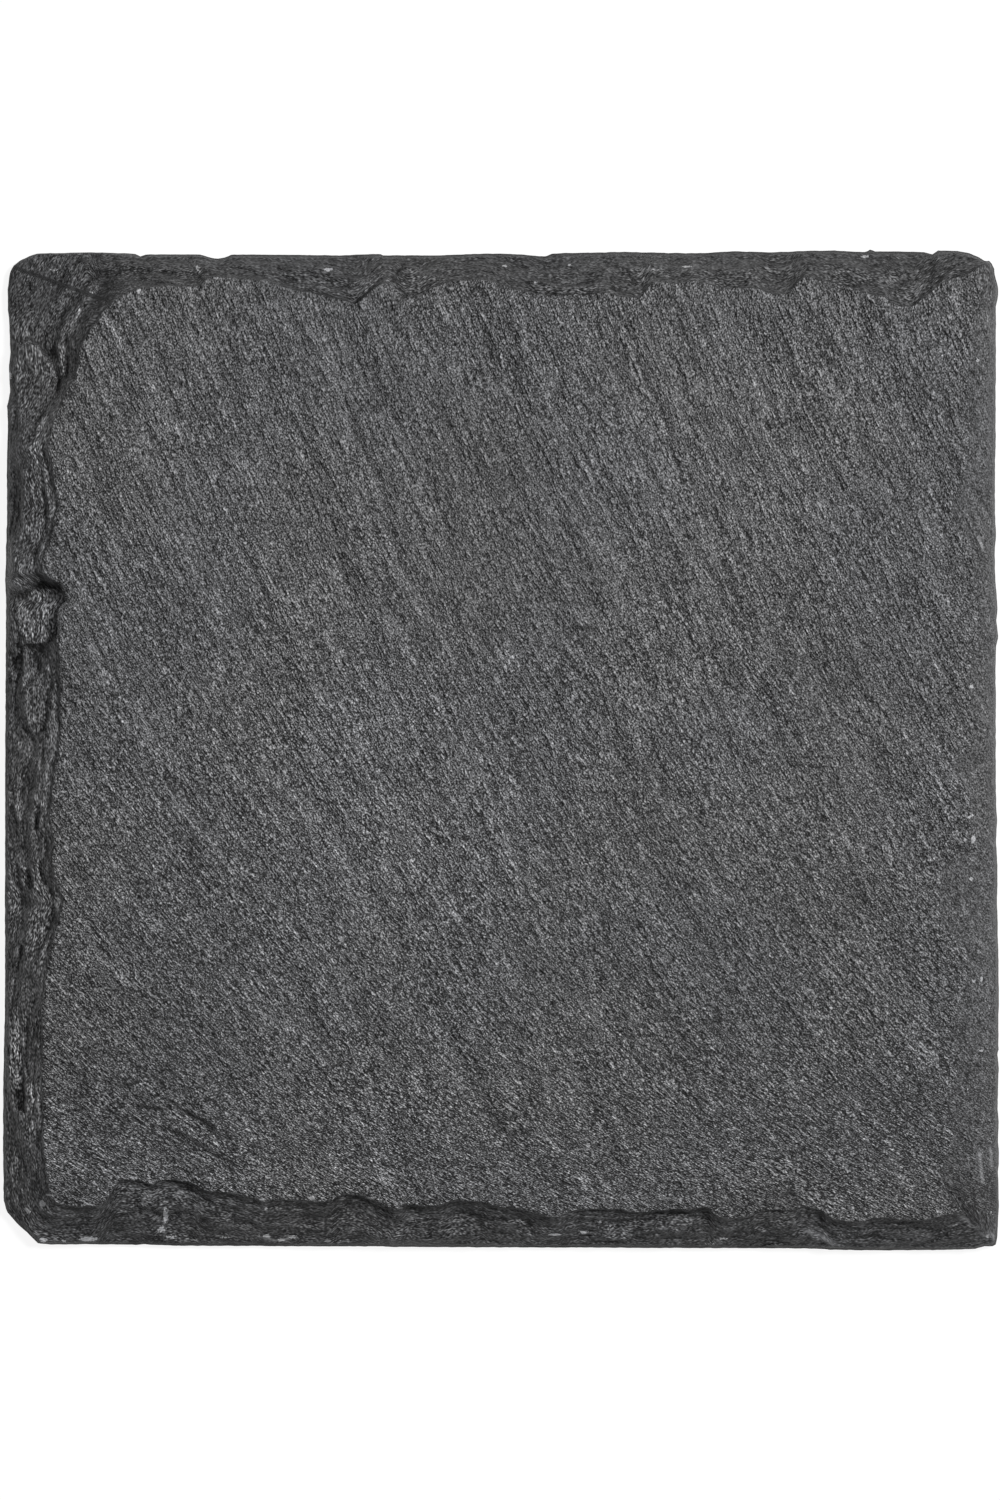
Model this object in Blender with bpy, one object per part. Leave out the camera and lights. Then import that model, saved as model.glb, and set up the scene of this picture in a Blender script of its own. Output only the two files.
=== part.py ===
"""A slate coaster: one square slab of split slate with chipped edges.

The slab lies flat, +Z up, with its origin at the middle of its underside. X runs across it, Y along it.
All dimensions below are in millimetres and become metres when the mesh is made.

The shape is built the way the stone is dressed. The split face is a grid fitted inside the crest, the line where
the chipping starts. The crest is then extruded outwards and downwards, ring by ring, as the chipped bevel, down to
the rim and the narrow broken edge under it, and the sawn-flat underside closes the solid.
"""

import math

import bmesh
import bpy
import numpy as np
from mathutils import Vector, noise

# ---------------------------------------------------------------- driving dimensions, mm

FACE_Z = 5.0  # height of the split face above the surface the coaster lies on
RIM_Z = 0.75  # height at which the chipped bevel reaches the outline
UNDERCUT = 0.3  # how far the sharp lower arris is worn back under the outline
SEAT_RADIUS = 38.0  # the middle of the face, where a cup stands, is a true plane
SEAT_BLEND = 5.0  # width of the ring where the plane runs out into the uneven margin
MARGIN_SWELL = 0.22  # height of the slow swells in the margin of the face
LAMINA = 0.45  # thickness of the leaves that the slate splits into
FLAKE_ROUGHNESS = 0.16  # irregularity of the chipped bevel
SIDE_STEPS = 56  # grid cells along each side
BEVEL_RINGS = 7  # rings of facets between the crest and the rim
CORNER_REACH = 7.0  # how far from a corner the bevel still fans out

# The outline, seen from above: the rim of the slab, side by side and clockwise from the north-west corner.
RIM_NORTH = [
    (-48.6, 48.4), (-47.9, 48.9), (-46.4, 49.6), (-36.6, 49.6), (-36.0, 49.3), (-35.3, 49.5), (-30.1, 49.5),
    (-28.6, 49.1), (-26.8, 49.5), (-6.0, 49.4), (-1.2, 49.6), (4.5, 49.3), (5.4, 49.6), (13.0, 49.8), (20.0, 49.6),
    (33.5, 49.9), (43.1, 49.6), (43.7, 49.9), (45.6, 49.9), (47.0, 49.6), (48.8, 48.8),
]
RIM_EAST = [
    (48.8, 48.8), (49.4, 47.6), (49.7, 45.8), (49.5, 44.3), (49.5, 31.3), (49.4, 23.8), (49.4, 17.3), (49.7, 14.0),
    (49.5, 10.2), (49.5, -5.0), (49.7, -19.2), (49.8, -28.0), (49.6, -35.8), (49.8, -45.5), (49.6, -48.8),
    (49.4, -49.4),
]
RIM_SOUTH = [
    (49.4, -49.4), (47.4, -49.9), (38.9, -50.0), (14.6, -49.8), (0.0, -49.7), (-20.3, -49.6), (-35.7, -49.4),
    (-46.2, -49.3), (-47.3, -48.2),
]
RIM_WEST = [
    (-47.3, -48.2), (-49.4, -46.1), (-49.6, -45.0), (-49.7, -36.1), (-49.5, -25.9), (-49.4, 15.0), (-49.2, 30.0),
    (-49.3, 34.5), (-49.0, 36.0), (-49.1, 43.0), (-49.2, 46.0), (-49.0, 47.8), (-48.6, 48.4),
]

# The crest, where the split face ends and the chipping starts, in the same order. Its scallops are the scars of
# single flakes, two to eight millimetres long.
CREST_NORTH = [
    (-38.3, 44.6), (-35.6, 45.9), (-30.5, 46.0), (-28.6, 47.0), (-23.3, 46.6), (-17.8, 45.2), (-14.3, 44.3),
    (-11.5, 46.3), (-8.9, 45.2), (-5.0, 46.5), (-1.1, 46.6), (2.5, 45.6), (8.6, 45.2), (14.0, 44.9), (16.1, 46.5),
    (19.4, 46.6), (22.4, 45.8), (25.0, 45.9), (28.2, 45.2), (30.4, 47.0), (33.7, 46.2), (38.1, 45.0), (40.9, 43.9),
    (44.4, 46.7), (47.5, 47.9),
]
CREST_EAST = [
    (47.5, 47.9), (48.0, 45.6), (46.7, 40.2), (46.6, 30.7), (44.7, 24.2), (46.8, 20.7), (47.7, 11.6), (46.5, 6.3),
    (47.3, 2.2), (44.6, -1.5), (46.7, -5.0), (46.5, -8.8), (43.6, -14.0), (43.6, -16.4), (46.6, -21.8),
    (44.8, -27.9), (45.4, -32.7), (44.4, -35.8), (43.7, -41.8), (46.2, -45.9),
]
CREST_SOUTH = [
    (46.2, -45.9), (41.9, -46.6), (35.8, -46.9), (32.1, -45.6), (27.4, -45.7), (23.1, -46.6), (20.0, -45.5),
    (12.5, -45.8), (9.6, -45.4), (5.8, -46.4), (-0.4, -45.3), (-4.4, -44.6), (-10.7, -45.6), (-14.9, -44.1),
    (-18.7, -44.7), (-24.0, -44.9), (-28.6, -43.8), (-32.8, -42.7), (-38.3, -42.8), (-40.7, -45.2), (-44.1, -44.5),
]
CREST_WEST = [
    (-44.1, -44.5), (-45.1, -42.0), (-45.5, -32.7), (-45.6, -25.8), (-43.3, -15.1), (-44.5, -11.1), (-44.8, -6.6),
    (-43.8, 0.5), (-43.8, 8.9), (-44.2, 13.2), (-43.3, 15.3), (-45.6, 17.6), (-43.9, 24.2), (-45.0, 30.0),
    (-41.8, 38.5), (-38.3, 44.6),
]

# One larger flake has come away from the west edge and left a level floor.
NOTCH = {"west": -48.4, "east": -44.0, "south": 10.6, "north": 15.6, "floor": 3.4}


# ---------------------------------------------------------------- lines

def along(points, axis, positions):
    """Points of a side's line at the given positions along X (axis 0) or Y (axis 1)."""
    line = np.array(points)
    if line[0, axis] > line[-1, axis]:
        line = line[::-1]
    across = np.interp(positions, line[:, axis], line[:, 1 - axis])
    return np.stack([positions, across] if axis == 0 else [across, positions], axis=1)


def side_pair(crest, rim, axis):
    """The crest's stations along one side, evenly spread, and the rim's station that faces each of them.

    Away from the corners the two face each other squarely. Near a corner the rim's stations fan out to reach it.
    """
    crest_from, crest_to = crest[0][axis], crest[-1][axis]
    rim_from, rim_to = rim[0][axis], rim[-1][axis]
    s = np.linspace(crest_from, crest_to, SIDE_STEPS + 1)
    fan_from = np.exp(-(((s - crest_from) / CORNER_REACH) ** 2))
    fan_to = np.exp(-(((s - crest_to) / CORNER_REACH) ** 2))
    r = s + (rim_from - crest_from) * fan_from + (rim_to - crest_to) * fan_to
    r[0], r[-1] = rim_from, rim_to
    return along(crest, axis, s), along(rim, axis, r)


def ring_lines():
    """The crest and the rim as closed loops of stations, clockwise from the north-west corner."""
    sides = [
        side_pair(CREST_NORTH, RIM_NORTH, 0),
        side_pair(CREST_EAST, RIM_EAST, 1),
        side_pair(CREST_SOUTH, RIM_SOUTH, 0),
        side_pair(CREST_WEST, RIM_WEST, 1),
    ]
    crest = np.concatenate([c[:-1] for c, _ in sides])
    rim = np.concatenate([r[:-1] for _, r in sides])
    return crest, rim


# ---------------------------------------------------------------- heights

def smooth(x):
    x = min(1.0, max(0.0, x))
    return x * x * (3.0 - 2.0 * x)


def face_height(x, y):
    """The split face: a plane in the middle, with slow swells in its margin."""
    away = smooth((math.hypot(x, y) - SEAT_RADIUS) / SEAT_BLEND)
    swell = noise.noise(Vector((x / 19.0, y / 27.0, 3.7)))
    return FACE_Z + MARGIN_SWELL * away * (swell - 0.3)


def bevel_height(x, y, top, t):
    """The chipped bevel at t, from 1 at the crest to 0 at the rim, where the face above it is at height top.

    The slope is uneven, and it is pulled towards the levels of the slate's leaves, which break off in steps.
    """
    rough = FLAKE_ROUGHNESS * noise.noise(Vector((x / 2.6, y / 2.6, 8.1)))
    slope = RIM_Z + (top - RIM_Z) * t + 4.0 * t * (1.0 - t) * (0.12 + 3.0 * rough)
    level = LAMINA * round(slope / LAMINA)
    return slope + 0.5 * (level - slope) * smooth(4.0 * t * (1.0 - t))


def notch_weight(x, y):
    """How far a point lies inside the flat-floored notch, from 0 to 1."""
    inside = min(x - NOTCH["west"], NOTCH["east"] - x, y - NOTCH["south"], NOTCH["north"] - y)
    return smooth(inside / 0.8)


# ---------------------------------------------------------------- the slab

def coons(north, east, south, west, u, v):
    """A point of the surface spanned by four sides; u runs west to east, v south to north."""
    sn = (1 - v) * south(u) + v * north(u)
    we = (1 - u) * west(v) + u * east(v)
    corners = (
        (1 - u) * (1 - v) * south(0) + u * (1 - v) * south(1) + (1 - u) * v * north(0) + u * v * north(1)
    )
    return sn + we - corners


def make_slab():
    crest, rim = ring_lines()
    n = SIDE_STEPS
    north, east, south, west = (crest[np.arange(k * n, (k + 1) * n + 1) % (4 * n)] for k in range(4))

    def side(points, flip):
        points = points[::-1] if flip else points
        return lambda a: points[round(a * n)]

    sides = side(north, False), side(east, True), side(south, True), side(west, False)

    bm = bmesh.new()
    bmesh.ops.create_grid(bm, x_segments=n, y_segments=n, size=1.0)
    bm.verts.ensure_lookup_table()

    # Where each border vertex sits on the closed loop of stations.
    station = {}
    for vert in bm.verts:
        i, j = round((vert.co.x + 1) * n / 2), round((vert.co.y + 1) * n / 2)
        if j == n:
            station[vert] = i
        elif i == n:
            station[vert] = 2 * n - j
        elif j == 0:
            station[vert] = 3 * n - i
        elif i == 0:
            station[vert] = 3 * n + j
        x, y = coons(*sides, i / n, j / n)
        vert.co = Vector((x, y, face_height(x, y)))

    # The bevel: the border is extruded ring by ring towards the rim.
    loop = [edge for edge in bm.edges if edge.is_boundary]
    heights = {k: face_height(*crest[k]) for k in range(4 * n)}
    rings = [1.0 - (r / BEVEL_RINGS) for r in range(1, BEVEL_RINGS + 1)]

    def extrude(place):
        nonlocal loop, station
        made = bmesh.ops.extrude_edge_only(bm, edges=loop)["geom"]
        fresh = {g for g in made if isinstance(g, bmesh.types.BMVert)}
        loop = [g for g in made if isinstance(g, bmesh.types.BMEdge) and all(v in fresh for v in g.verts)]
        moved = {}
        for vert in fresh:
            old = next(e.other_vert(vert) for e in vert.link_edges if e.other_vert(vert) not in fresh)
            moved[vert] = station[old]
        for vert, k in moved.items():
            vert.co = place(k)
        station = moved

    for t in rings:
        def on_bevel(k, t=t):
            x, y = rim[k] + (crest[k] - rim[k]) * t
            z = bevel_height(x, y, heights[k], t) if t > 0 else RIM_Z
            z += notch_weight(x, y) * (NOTCH["floor"] - z)
            return Vector((x, y, z))

        extrude(on_bevel)

    # The broken edge under the rim, and the lower arris, worn back a little.
    inward = np.array([-np.sign(p) * (abs(p) > 44.0) for p in rim])
    length = np.maximum(np.linalg.norm(inward, axis=1, keepdims=True), 1.0)
    inward = inward / length

    def on_edge(k):
        x, y = rim[k] + 0.06 * inward[k]
        return Vector((x, y, 0.45 * RIM_Z))

    def on_arris(k):
        x, y = rim[k] + UNDERCUT * inward[k]
        return Vector((x, y, 0.0))

    extrude(on_edge)
    extrude(on_arris)

    bmesh.ops.contextual_create(bm, geom=loop)

    # The origin is the middle of the box that the slab fills.
    low, high = rim.min(axis=0), rim.max(axis=0)
    bmesh.ops.translate(bm, vec=Vector((*(-(low + high) / 2.0), 0.0)), verts=bm.verts[:])

    bmesh.ops.triangulate(bm, faces=bm.faces[:], quad_method="SHORT_EDGE", ngon_method="BEAUTY")
    bmesh.ops.recalc_face_normals(bm, faces=bm.faces[:])
    bmesh.ops.scale(bm, vec=Vector((0.001, 0.001, 0.001)), verts=bm.verts[:])

    mesh = bpy.data.meshes.new("slate_slab")
    bm.to_mesh(mesh)
    bm.free()
    mesh.shade_smooth()
    mesh.set_sharp_from_angle(angle=math.radians(28))
    return mesh


def slate_material():
    """Dry, unpolished dark grey slate."""
    material = bpy.data.materials.new("slate")
    material.use_nodes = True
    shader = material.node_tree.nodes["Principled BSDF"]
    shader.inputs["Base Color"].default_value = (0.105, 0.106, 0.110, 1.0)
    shader.inputs["Roughness"].default_value = 0.72
    shader.inputs["Metallic"].default_value = 0.0
    return material


def main():
    for obj in list(bpy.data.objects):
        bpy.data.objects.remove(obj, do_unlink=True)
    slab = bpy.data.objects.new("slate_slab", make_slab())
    slab.data.materials.append(slate_material())
    bpy.context.scene.collection.objects.link(slab)


main()
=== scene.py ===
"""Slate coaster: the fine surface, the stone's material, light and camera.

The slab is one closed mesh. Its split face is a fine grid fitted inside the crest line; rings of facets carry the
chipped bevel from the crest out to the rim and under it, and a coarser grid closes the underside. Every height is
worked out from noise, from the leaves (laminae) the slate splits into, and from a list of the larger flakes, steps
and cracks. Lengths are in millimetres until the mesh is written.
"""

import math
import bpy  # noqa: E402
import numpy as np  # noqa: E402
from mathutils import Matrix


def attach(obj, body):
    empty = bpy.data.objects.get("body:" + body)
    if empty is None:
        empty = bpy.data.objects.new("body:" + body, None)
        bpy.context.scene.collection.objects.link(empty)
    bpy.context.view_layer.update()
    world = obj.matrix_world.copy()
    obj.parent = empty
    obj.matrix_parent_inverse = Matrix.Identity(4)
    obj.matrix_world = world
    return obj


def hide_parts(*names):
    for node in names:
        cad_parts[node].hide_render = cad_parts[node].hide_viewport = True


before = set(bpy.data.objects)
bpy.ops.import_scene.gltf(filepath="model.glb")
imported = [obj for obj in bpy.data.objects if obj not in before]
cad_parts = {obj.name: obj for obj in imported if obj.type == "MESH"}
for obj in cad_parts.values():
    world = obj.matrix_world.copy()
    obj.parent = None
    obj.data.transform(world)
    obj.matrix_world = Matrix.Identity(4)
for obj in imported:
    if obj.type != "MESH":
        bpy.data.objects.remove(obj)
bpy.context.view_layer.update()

MM = 0.001

# ---------------------------------------------------------------- the slab's lines, mm

# The rim: the outline of the slab, clockwise from its north-west corner.
RIM_NORTH = [
    (-48.6, 48.4), (-48.0, 48.9), (-46.4, 49.6), (-41.1, 49.7), (-36.6, 49.6), (-36.0, 49.3), (-35.4, 49.5),
    (-30.1, 49.5), (-29.1, 49.2), (-28.4, 49.05), (-27.6, 49.15), (-26.8, 49.5), (-16.0, 49.4), (-12.0, 49.55),
    (-11.7, 49.4), (-6.0, 49.4), (-1.2, 49.6), (2.0, 49.5), (3.2, 49.35), (4.5, 49.3), (5.2, 49.6), (10.0, 49.7),
    (13.0, 49.75), (16.0, 49.65), (20.0, 49.6), (23.5, 49.8), (27.2, 49.7), (29.5, 49.8), (33.5, 49.9),
    (35.4, 49.75), (36.5, 49.75), (36.95, 50.0), (37.4, 49.8), (40.0, 49.8), (42.3, 49.7), (43.15, 49.5),
    (43.7, 49.9), (45.6, 49.85), (46.9, 49.6), (47.8, 49.2), (48.4, 48.8), (48.8, 48.85),
]
RIM_EAST = [
    (48.8, 48.85), (49.05, 48.6), (49.3, 48.1), (49.4, 47.3), (49.7, 46.2), (49.72, 45.5), (49.6, 44.7),
    (49.48, 44.3), (49.5, 38.3), (49.45, 33.0), (49.5, 31.3), (49.4, 29.0), (49.38, 23.8), (49.5, 21.8),
    (49.5, 21.1), (49.38, 20.1), (49.4, 17.3), (49.65, 14.1), (49.55, 12.9), (49.72, 11.3), (49.48, 10.2),
    (49.45, 7.2), (49.5, 4.3), (49.45, 0.1), (49.5, -5.0), (49.6, -7.2), (49.5, -9.1), (49.65, -11.5),
    (49.6, -15.0), (49.7, -19.2), (49.75, -21.3), (49.77, -25.2), (49.72, -28.0), (49.74, -30.0), (49.6, -30.3),
    (49.77, -31.5), (49.65, -35.8), (49.78, -37.2), (49.72, -39.0), (49.8, -40.4), (49.7, -42.2), (49.78, -45.5),
    (49.7, -47.3), (49.6, -48.8), (49.45, -49.4),
]
RIM_SOUTH = [
    (49.45, -49.4), (49.15, -49.62), (48.3, -49.6), (47.4, -49.85), (45.2, -49.95), (38.9, -50.0), (32.9, -49.95),
    (32.1, -49.85), (28.2, -49.8), (14.6, -49.75), (0.0, -49.7), (-11.1, -49.65), (-12.0, -49.6), (-20.3, -49.6),
    (-26.8, -49.55), (-31.8, -49.55), (-34.6, -49.45), (-35.7, -49.38), (-36.4, -49.45), (-40.0, -49.4),
    (-45.0, -49.4), (-46.2, -49.3), (-47.3, -48.2),
]
RIM_WEST = [
    (-47.3, -48.2), (-48.4, -47.2), (-49.35, -46.1), (-49.62, -45.0), (-49.7, -40.3), (-49.68, -36.1),
    (-49.68, -33.0), (-49.58, -28.2), (-49.5, -25.9), (-49.5, -17.0), (-49.48, 0.0), (-49.4, 15.0), (-49.48, 17.1),
    (-49.4, 19.6), (-49.28, 23.5), (-49.33, 27.9), (-49.2, 32.5), (-49.3, 34.4), (-49.2, 34.7), (-48.98, 35.8),
    (-49.12, 38.0), (-48.98, 39.6), (-49.08, 42.9), (-49.22, 44.0), (-49.22, 46.0), (-49.05, 47.6), (-48.8, 48.15),
    (-48.6, 48.4),
]

# The crest: the edge of the split face. Each scallop is the scar of one flake.
CREST_NORTH = [
    (-38.3, 44.6), (-37.3, 45.3), (-35.6, 45.9), (-34.0, 46.1), (-31.2, 46.0), (-30.5, 46.0), (-29.6, 46.2),
    (-29.1, 46.9), (-28.3, 47.0), (-26.0, 46.75), (-23.3, 46.6), (-21.7, 46.0), (-20.0, 45.6), (-17.8, 45.2),
    (-16.0, 44.7), (-14.3, 44.3), (-12.8, 45.6), (-11.8, 46.3), (-11.2, 46.3), (-10.4, 45.9), (-9.7, 45.4),
    (-8.9, 45.2), (-8.0, 45.3), (-7.2, 45.8), (-6.4, 46.1), (-5.7, 46.3), (-4.4, 46.6), (-2.2, 46.7), (-1.1, 46.6),
    (-0.1, 46.2), (1.1, 45.8), (2.5, 45.6), (3.8, 45.3), (5.3, 45.2), (8.6, 45.2), (9.9, 45.4), (10.5, 45.4),
    (11.5, 45.1), (12.7, 44.9), (14.0, 44.9), (14.5, 45.6), (15.0, 46.4), (16.1, 46.5), (17.1, 46.2), (18.4, 46.5),
    (19.4, 46.6), (20.8, 46.2), (22.4, 45.8), (25.0, 45.9), (26.0, 45.6), (26.9, 45.3), (28.2, 45.2), (28.9, 45.6),
    (29.5, 46.3), (30.4, 47.0), (31.4, 46.8), (32.6, 46.5), (33.7, 46.2), (35.2, 45.8), (36.6, 45.2), (38.1, 45.0),
    (38.8, 44.4), (39.7, 44.0), (40.9, 43.9), (41.8, 44.7), (42.9, 45.6), (44.4, 46.7), (45.4, 46.9), (46.4, 47.2),
    (47.5, 47.9),
]
CREST_EAST = [
    (47.5, 47.9), (47.9, 47.1), (48.0, 45.6), (47.6, 44.2), (47.0, 42.7), (46.7, 40.2), (46.5, 36.7), (46.6, 32.7),
    (46.6, 30.7), (46.2, 27.8), (45.4, 25.8), (44.7, 24.2), (45.2, 22.8), (46.0, 21.8), (46.8, 20.7), (46.8, 18.8),
    (47.2, 16.8), (47.4, 14.9), (47.7, 11.6), (46.9, 10.1), (46.5, 6.3), (46.8, 4.9), (47.3, 2.2), (46.6, 0.4),
    (45.1, -1.0), (44.6, -1.5), (45.8, -3.0), (46.7, -5.0), (46.7, -8.8), (45.3, -10.0), (44.0, -11.7),
    (43.6, -14.0), (43.6, -16.4), (44.8, -18.4), (46.2, -19.5), (46.6, -21.8), (46.2, -23.9), (45.4, -25.4),
    (44.8, -27.9), (45.3, -30.8), (45.4, -32.7), (44.6, -34.1), (44.4, -35.8), (44.9, -37.8), (44.6, -39.8),
    (43.7, -41.8), (44.2, -43.8), (45.3, -45.2), (45.94, -45.89),
]
CREST_SOUTH = [
    (45.94, -45.89), (45.44, -45.99), (44.85, -46.09), (44.15, -46.19), (43.26, -46.34), (42.66, -46.44),
    (42.07, -46.69), (41.17, -46.69), (40.18, -46.64), (39.39, -46.59), (38.69, -46.44), (37.7, -46.44),
    (36.9, -46.54), (36.31, -46.69), (35.71, -46.89), (34.92, -46.84), (34.22, -46.69), (33.33, -46.59),
    (32.73, -46.34), (32.23, -45.94), (31.74, -45.64), (31.24, -45.59), (30.54, -45.35), (29.75, -45.4),
    (29.05, -45.64), (28.26, -45.69), (27.27, -45.64), (26.17, -45.69), (25.48, -45.89), (24.78, -46.24),
    (23.79, -46.49), (22.8, -46.59), (22, -46.44), (21.21, -46.04), (20.81, -45.49), (20.02, -45.4),
    (19.22, -45.49), (18.62, -45.79), (18.03, -45.64), (17.33, -45.59), (16.34, -45.69), (15.35, -45.74),
    (14.35, -45.89), (13.46, -45.89), (12.66, -45.84), (12.07, -45.59), (10.88, -45.54), (9.39, -45.49),
    (8.1, -45.59), (7.2, -45.69), (6.51, -46.04), (5.71, -46.39), (4.92, -46.34), (3.92, -46.09), (2.93, -45.84),
    (1.94, -45.59), (0.94, -45.44), (-0.05, -45.35), (-0.65, -45.3), (-1.24, -45.05), (-1.84, -44.8),
    (-2.63, -44.75), (-3.43, -44.7), (-4.22, -44.6), (-4.82, -44.7), (-5.41, -44.95), (-6.01, -45.2), (-7, -45.25),
    (-8, -45.25), (-8.79, -45.2), (-9.49, -45.25), (-9.78, -45.54), (-10.28, -45.69), (-10.78, -45.64),
    (-11.17, -45.35), (-11.77, -45.15), (-12.37, -44.85), (-12.96, -44.55), (-13.56, -44.3), (-14.15, -44.15),
    (-14.95, -44.15), (-15.74, -44.2), (-16.34, -44.45), (-16.84, -44.8), (-17.53, -44.85), (-18.33, -44.85),
    (-18.92, -44.75), (-19.92, -44.7), (-20.91, -44.7), (-21.9, -44.65), (-22.7, -44.65), (-23.09, -44.9),
    (-23.69, -44.85), (-24.29, -44.65), (-24.88, -44.4), (-25.88, -44.15), (-26.67, -44), (-27.47, -43.86),
    (-28.26, -43.81), (-29.05, -43.76), (-29.65, -43.56), (-30.25, -43.21), (-30.84, -42.96), (-31.54, -42.86),
    (-32.33, -42.71), (-33.03, -42.61), (-33.82, -42.76), (-34.32, -43.06), (-34.82, -43.16), (-35.41, -42.86),
    (-36.01, -42.76), (-36.8, -42.76), (-37.4, -42.61), (-37.99, -42.86), (-38.49, -43.56), (-38.99, -44.45),
    (-39.48, -45.05), (-39.78, -45.25), (-40.78, -45.3), (-41.77, -45.35), (-42.76, -45.25), (-43.76, -45.05),
    (-44.45, -44.8), (-44.65, -44.55),
]
CREST_WEST = [
    (-44.65, -44.55), (-44.7, -44.2), (-44.8, -43.7), (-45.1, -42.0), (-45.4, -39.2), (-45.4, -36.4), (-45.5, -32.7),
    (-45.6, -31.2), (-45.5, -29.6), (-45.5, -27.7), (-45.6, -25.8), (-45.3, -24.8), (-45.2, -22.9), (-45.0, -21.4),
    (-44.6, -19.4), (-44.3, -18.3), (-43.7, -16.1), (-43.3, -15.1), (-44.2, -12.8), (-44.5, -11.1), (-44.3, -9.2),
    (-44.6, -7.7), (-44.8, -6.6), (-44.6, -5.6), (-44.4, -3.1), (-44.2, -1.3), (-43.8, 0.5), (-43.7, 4.9),
    (-43.8, 8.9), (-44.1, 11.3), (-44.2, 13.2), (-43.8, 14.2), (-43.3, 15.0), (-43.3, 15.6), (-43.7, 16.2),
    (-44.7, 17.1), (-45.6, 17.6), (-45.3, 19.5), (-44.6, 20.9), (-44.4, 22.9), (-43.9, 24.2), (-44.2, 26.1),
    (-44.6, 28.7), (-45.0, 30.0), (-44.6, 31.5), (-44.3, 32.8), (-43.7, 34.0), (-43.1, 35.7), (-42.3, 36.8),
    (-41.8, 38.5), (-41.8, 39.9), (-41.4, 40.6), (-40.8, 41.6), (-40.0, 42.7), (-39.4, 43.6), (-38.3, 44.6),
]

FACE_Z = 5.0
RIM_Z = 0.75
LAMINA = 0.42
CORNER_REACH = 7.0

# ---------------------------------------------------------------- noise


def _hash(ix, iy, iz, seed):
    """Well mixed 32-bit numbers, one for each lattice point."""
    with np.errstate(over="ignore"):
        h = (
            ix.astype(np.int64).astype(np.uint32) * np.uint32(0x9E3779B1)
            ^ iy.astype(np.int64).astype(np.uint32) * np.uint32(0x85EBCA77)
            ^ iz.astype(np.int64).astype(np.uint32) * np.uint32(0xC2B2AE3D)
            ^ np.uint32((seed * 0x27D4EB2F + 0x165667B1) & 0xFFFFFFFF)
        )
        h ^= h >> np.uint32(15)
        h *= np.uint32(0x2C1B3C6D)
        h ^= h >> np.uint32(12)
        h *= np.uint32(0x297A2D39)
        h ^= h >> np.uint32(15)
    return h


def rand01(ix, iy, seed):
    ix, iy = np.asarray(ix), np.asarray(iy)
    return _hash(ix, iy, np.zeros_like(ix), seed).astype(np.float64) / 4294967296.0


def gnoise(x, y, seed=0):
    """Gradient noise in the plane, about -1 to 1, with features about one unit across."""
    x, y = np.asarray(x, float) + 137.31 * seed, np.asarray(y, float) - 71.77 * seed
    xi, yi = np.floor(x), np.floor(y)
    xf, yf = x - xi, y - yi
    u = xf * xf * xf * (xf * (xf * 6 - 15) + 10)
    v = yf * yf * yf * (yf * (yf * 6 - 15) + 10)
    zero = np.zeros_like(xi)

    def corner(dx, dy):
        a = _hash(xi + dx, yi + dy, zero, seed).astype(np.float64) * (2 * math.pi / 4294967296.0)
        return np.cos(a) * (xf - dx) + np.sin(a) * (yf - dy)

    low = corner(0, 0) * (1 - u) + corner(1, 0) * u
    high = corner(0, 1) * (1 - u) + corner(1, 1) * u
    return (low * (1 - v) + high * v) * 1.5


def fbm(x, y, seed, octaves=4, gain=0.5):
    total, size, norm = 0.0, 1.0, 0.0
    for k in range(octaves):
        total = total + size * gnoise(x * 2.03**k, y * 2.03**k, seed + 11 * k)
        norm += size * size
        size *= gain
    return total / math.sqrt(norm)


def cells(x, y, seed):
    """Worley cells: distance to the nearest and second nearest seed, the nearest cell's number and offset to it."""
    xi, yi = np.floor(x), np.floor(y)
    best = np.full(x.shape, 9.0)
    second = np.full(x.shape, 9.0)
    number = np.zeros(x.shape)
    ox, oy = np.zeros(x.shape), np.zeros(x.shape)
    for dx in (-1, 0, 1):
        for dy in (-1, 0, 1):
            cx, cy = xi + dx, yi + dy
            px = cx + rand01(cx, cy, seed)
            py = cy + rand01(cx, cy, seed + 1)
            d = np.hypot(px - x, py - y)
            n = rand01(cx, cy, seed + 2)
            nearer = d < best
            second = np.where(nearer, best, np.minimum(second, d))
            number = np.where(nearer, n, number)
            ox, oy = np.where(nearer, x - px, ox), np.where(nearer, y - py, oy)
            best = np.where(nearer, d, best)
    return best, second, number, ox, oy


def smooth(x):
    x = np.clip(x, 0.0, 1.0)
    return x * x * (3 - 2 * x)


def terrace(z, height, sharp):
    """Pulls z into treads one leaf high, with risers between them. sharp is the share of each step that is tread."""
    k = np.floor(z / height)
    f = z / height - k
    rise = smooth((f - 0.5) / np.maximum(1.0 - sharp, 0.02) + 0.5)
    return (k + rise) * height


# ---------------------------------------------------------------- lines and areas


def to_line(x, y, points):
    """Signed distance to an open line (positive on its right) and the position along it, in mm."""
    p = np.array(points, float)
    best = np.full(x.shape, 1e9)
    signed = np.full(x.shape, 1e9)
    place = np.zeros(x.shape)
    run = 0.0
    for a, b in zip(p[:-1], p[1:]):
        d = b - a
        size = np.hypot(*d)
        d = d / size
        along = (x - a[0]) * d[0] + (y - a[1]) * d[1]
        side = (x - a[0]) * d[1] - (y - a[1]) * d[0]
        t = np.clip(along, 0, size)
        dist = np.hypot(x - a[0] - d[0] * t, y - a[1] - d[1] * t)
        nearer = dist < best
        best = np.where(nearer, dist, best)
        signed = np.where(nearer, np.where(side >= 0, dist, -dist), signed)
        place = np.where(nearer, run + along, place)
        run += size
    return signed, place, run


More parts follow.
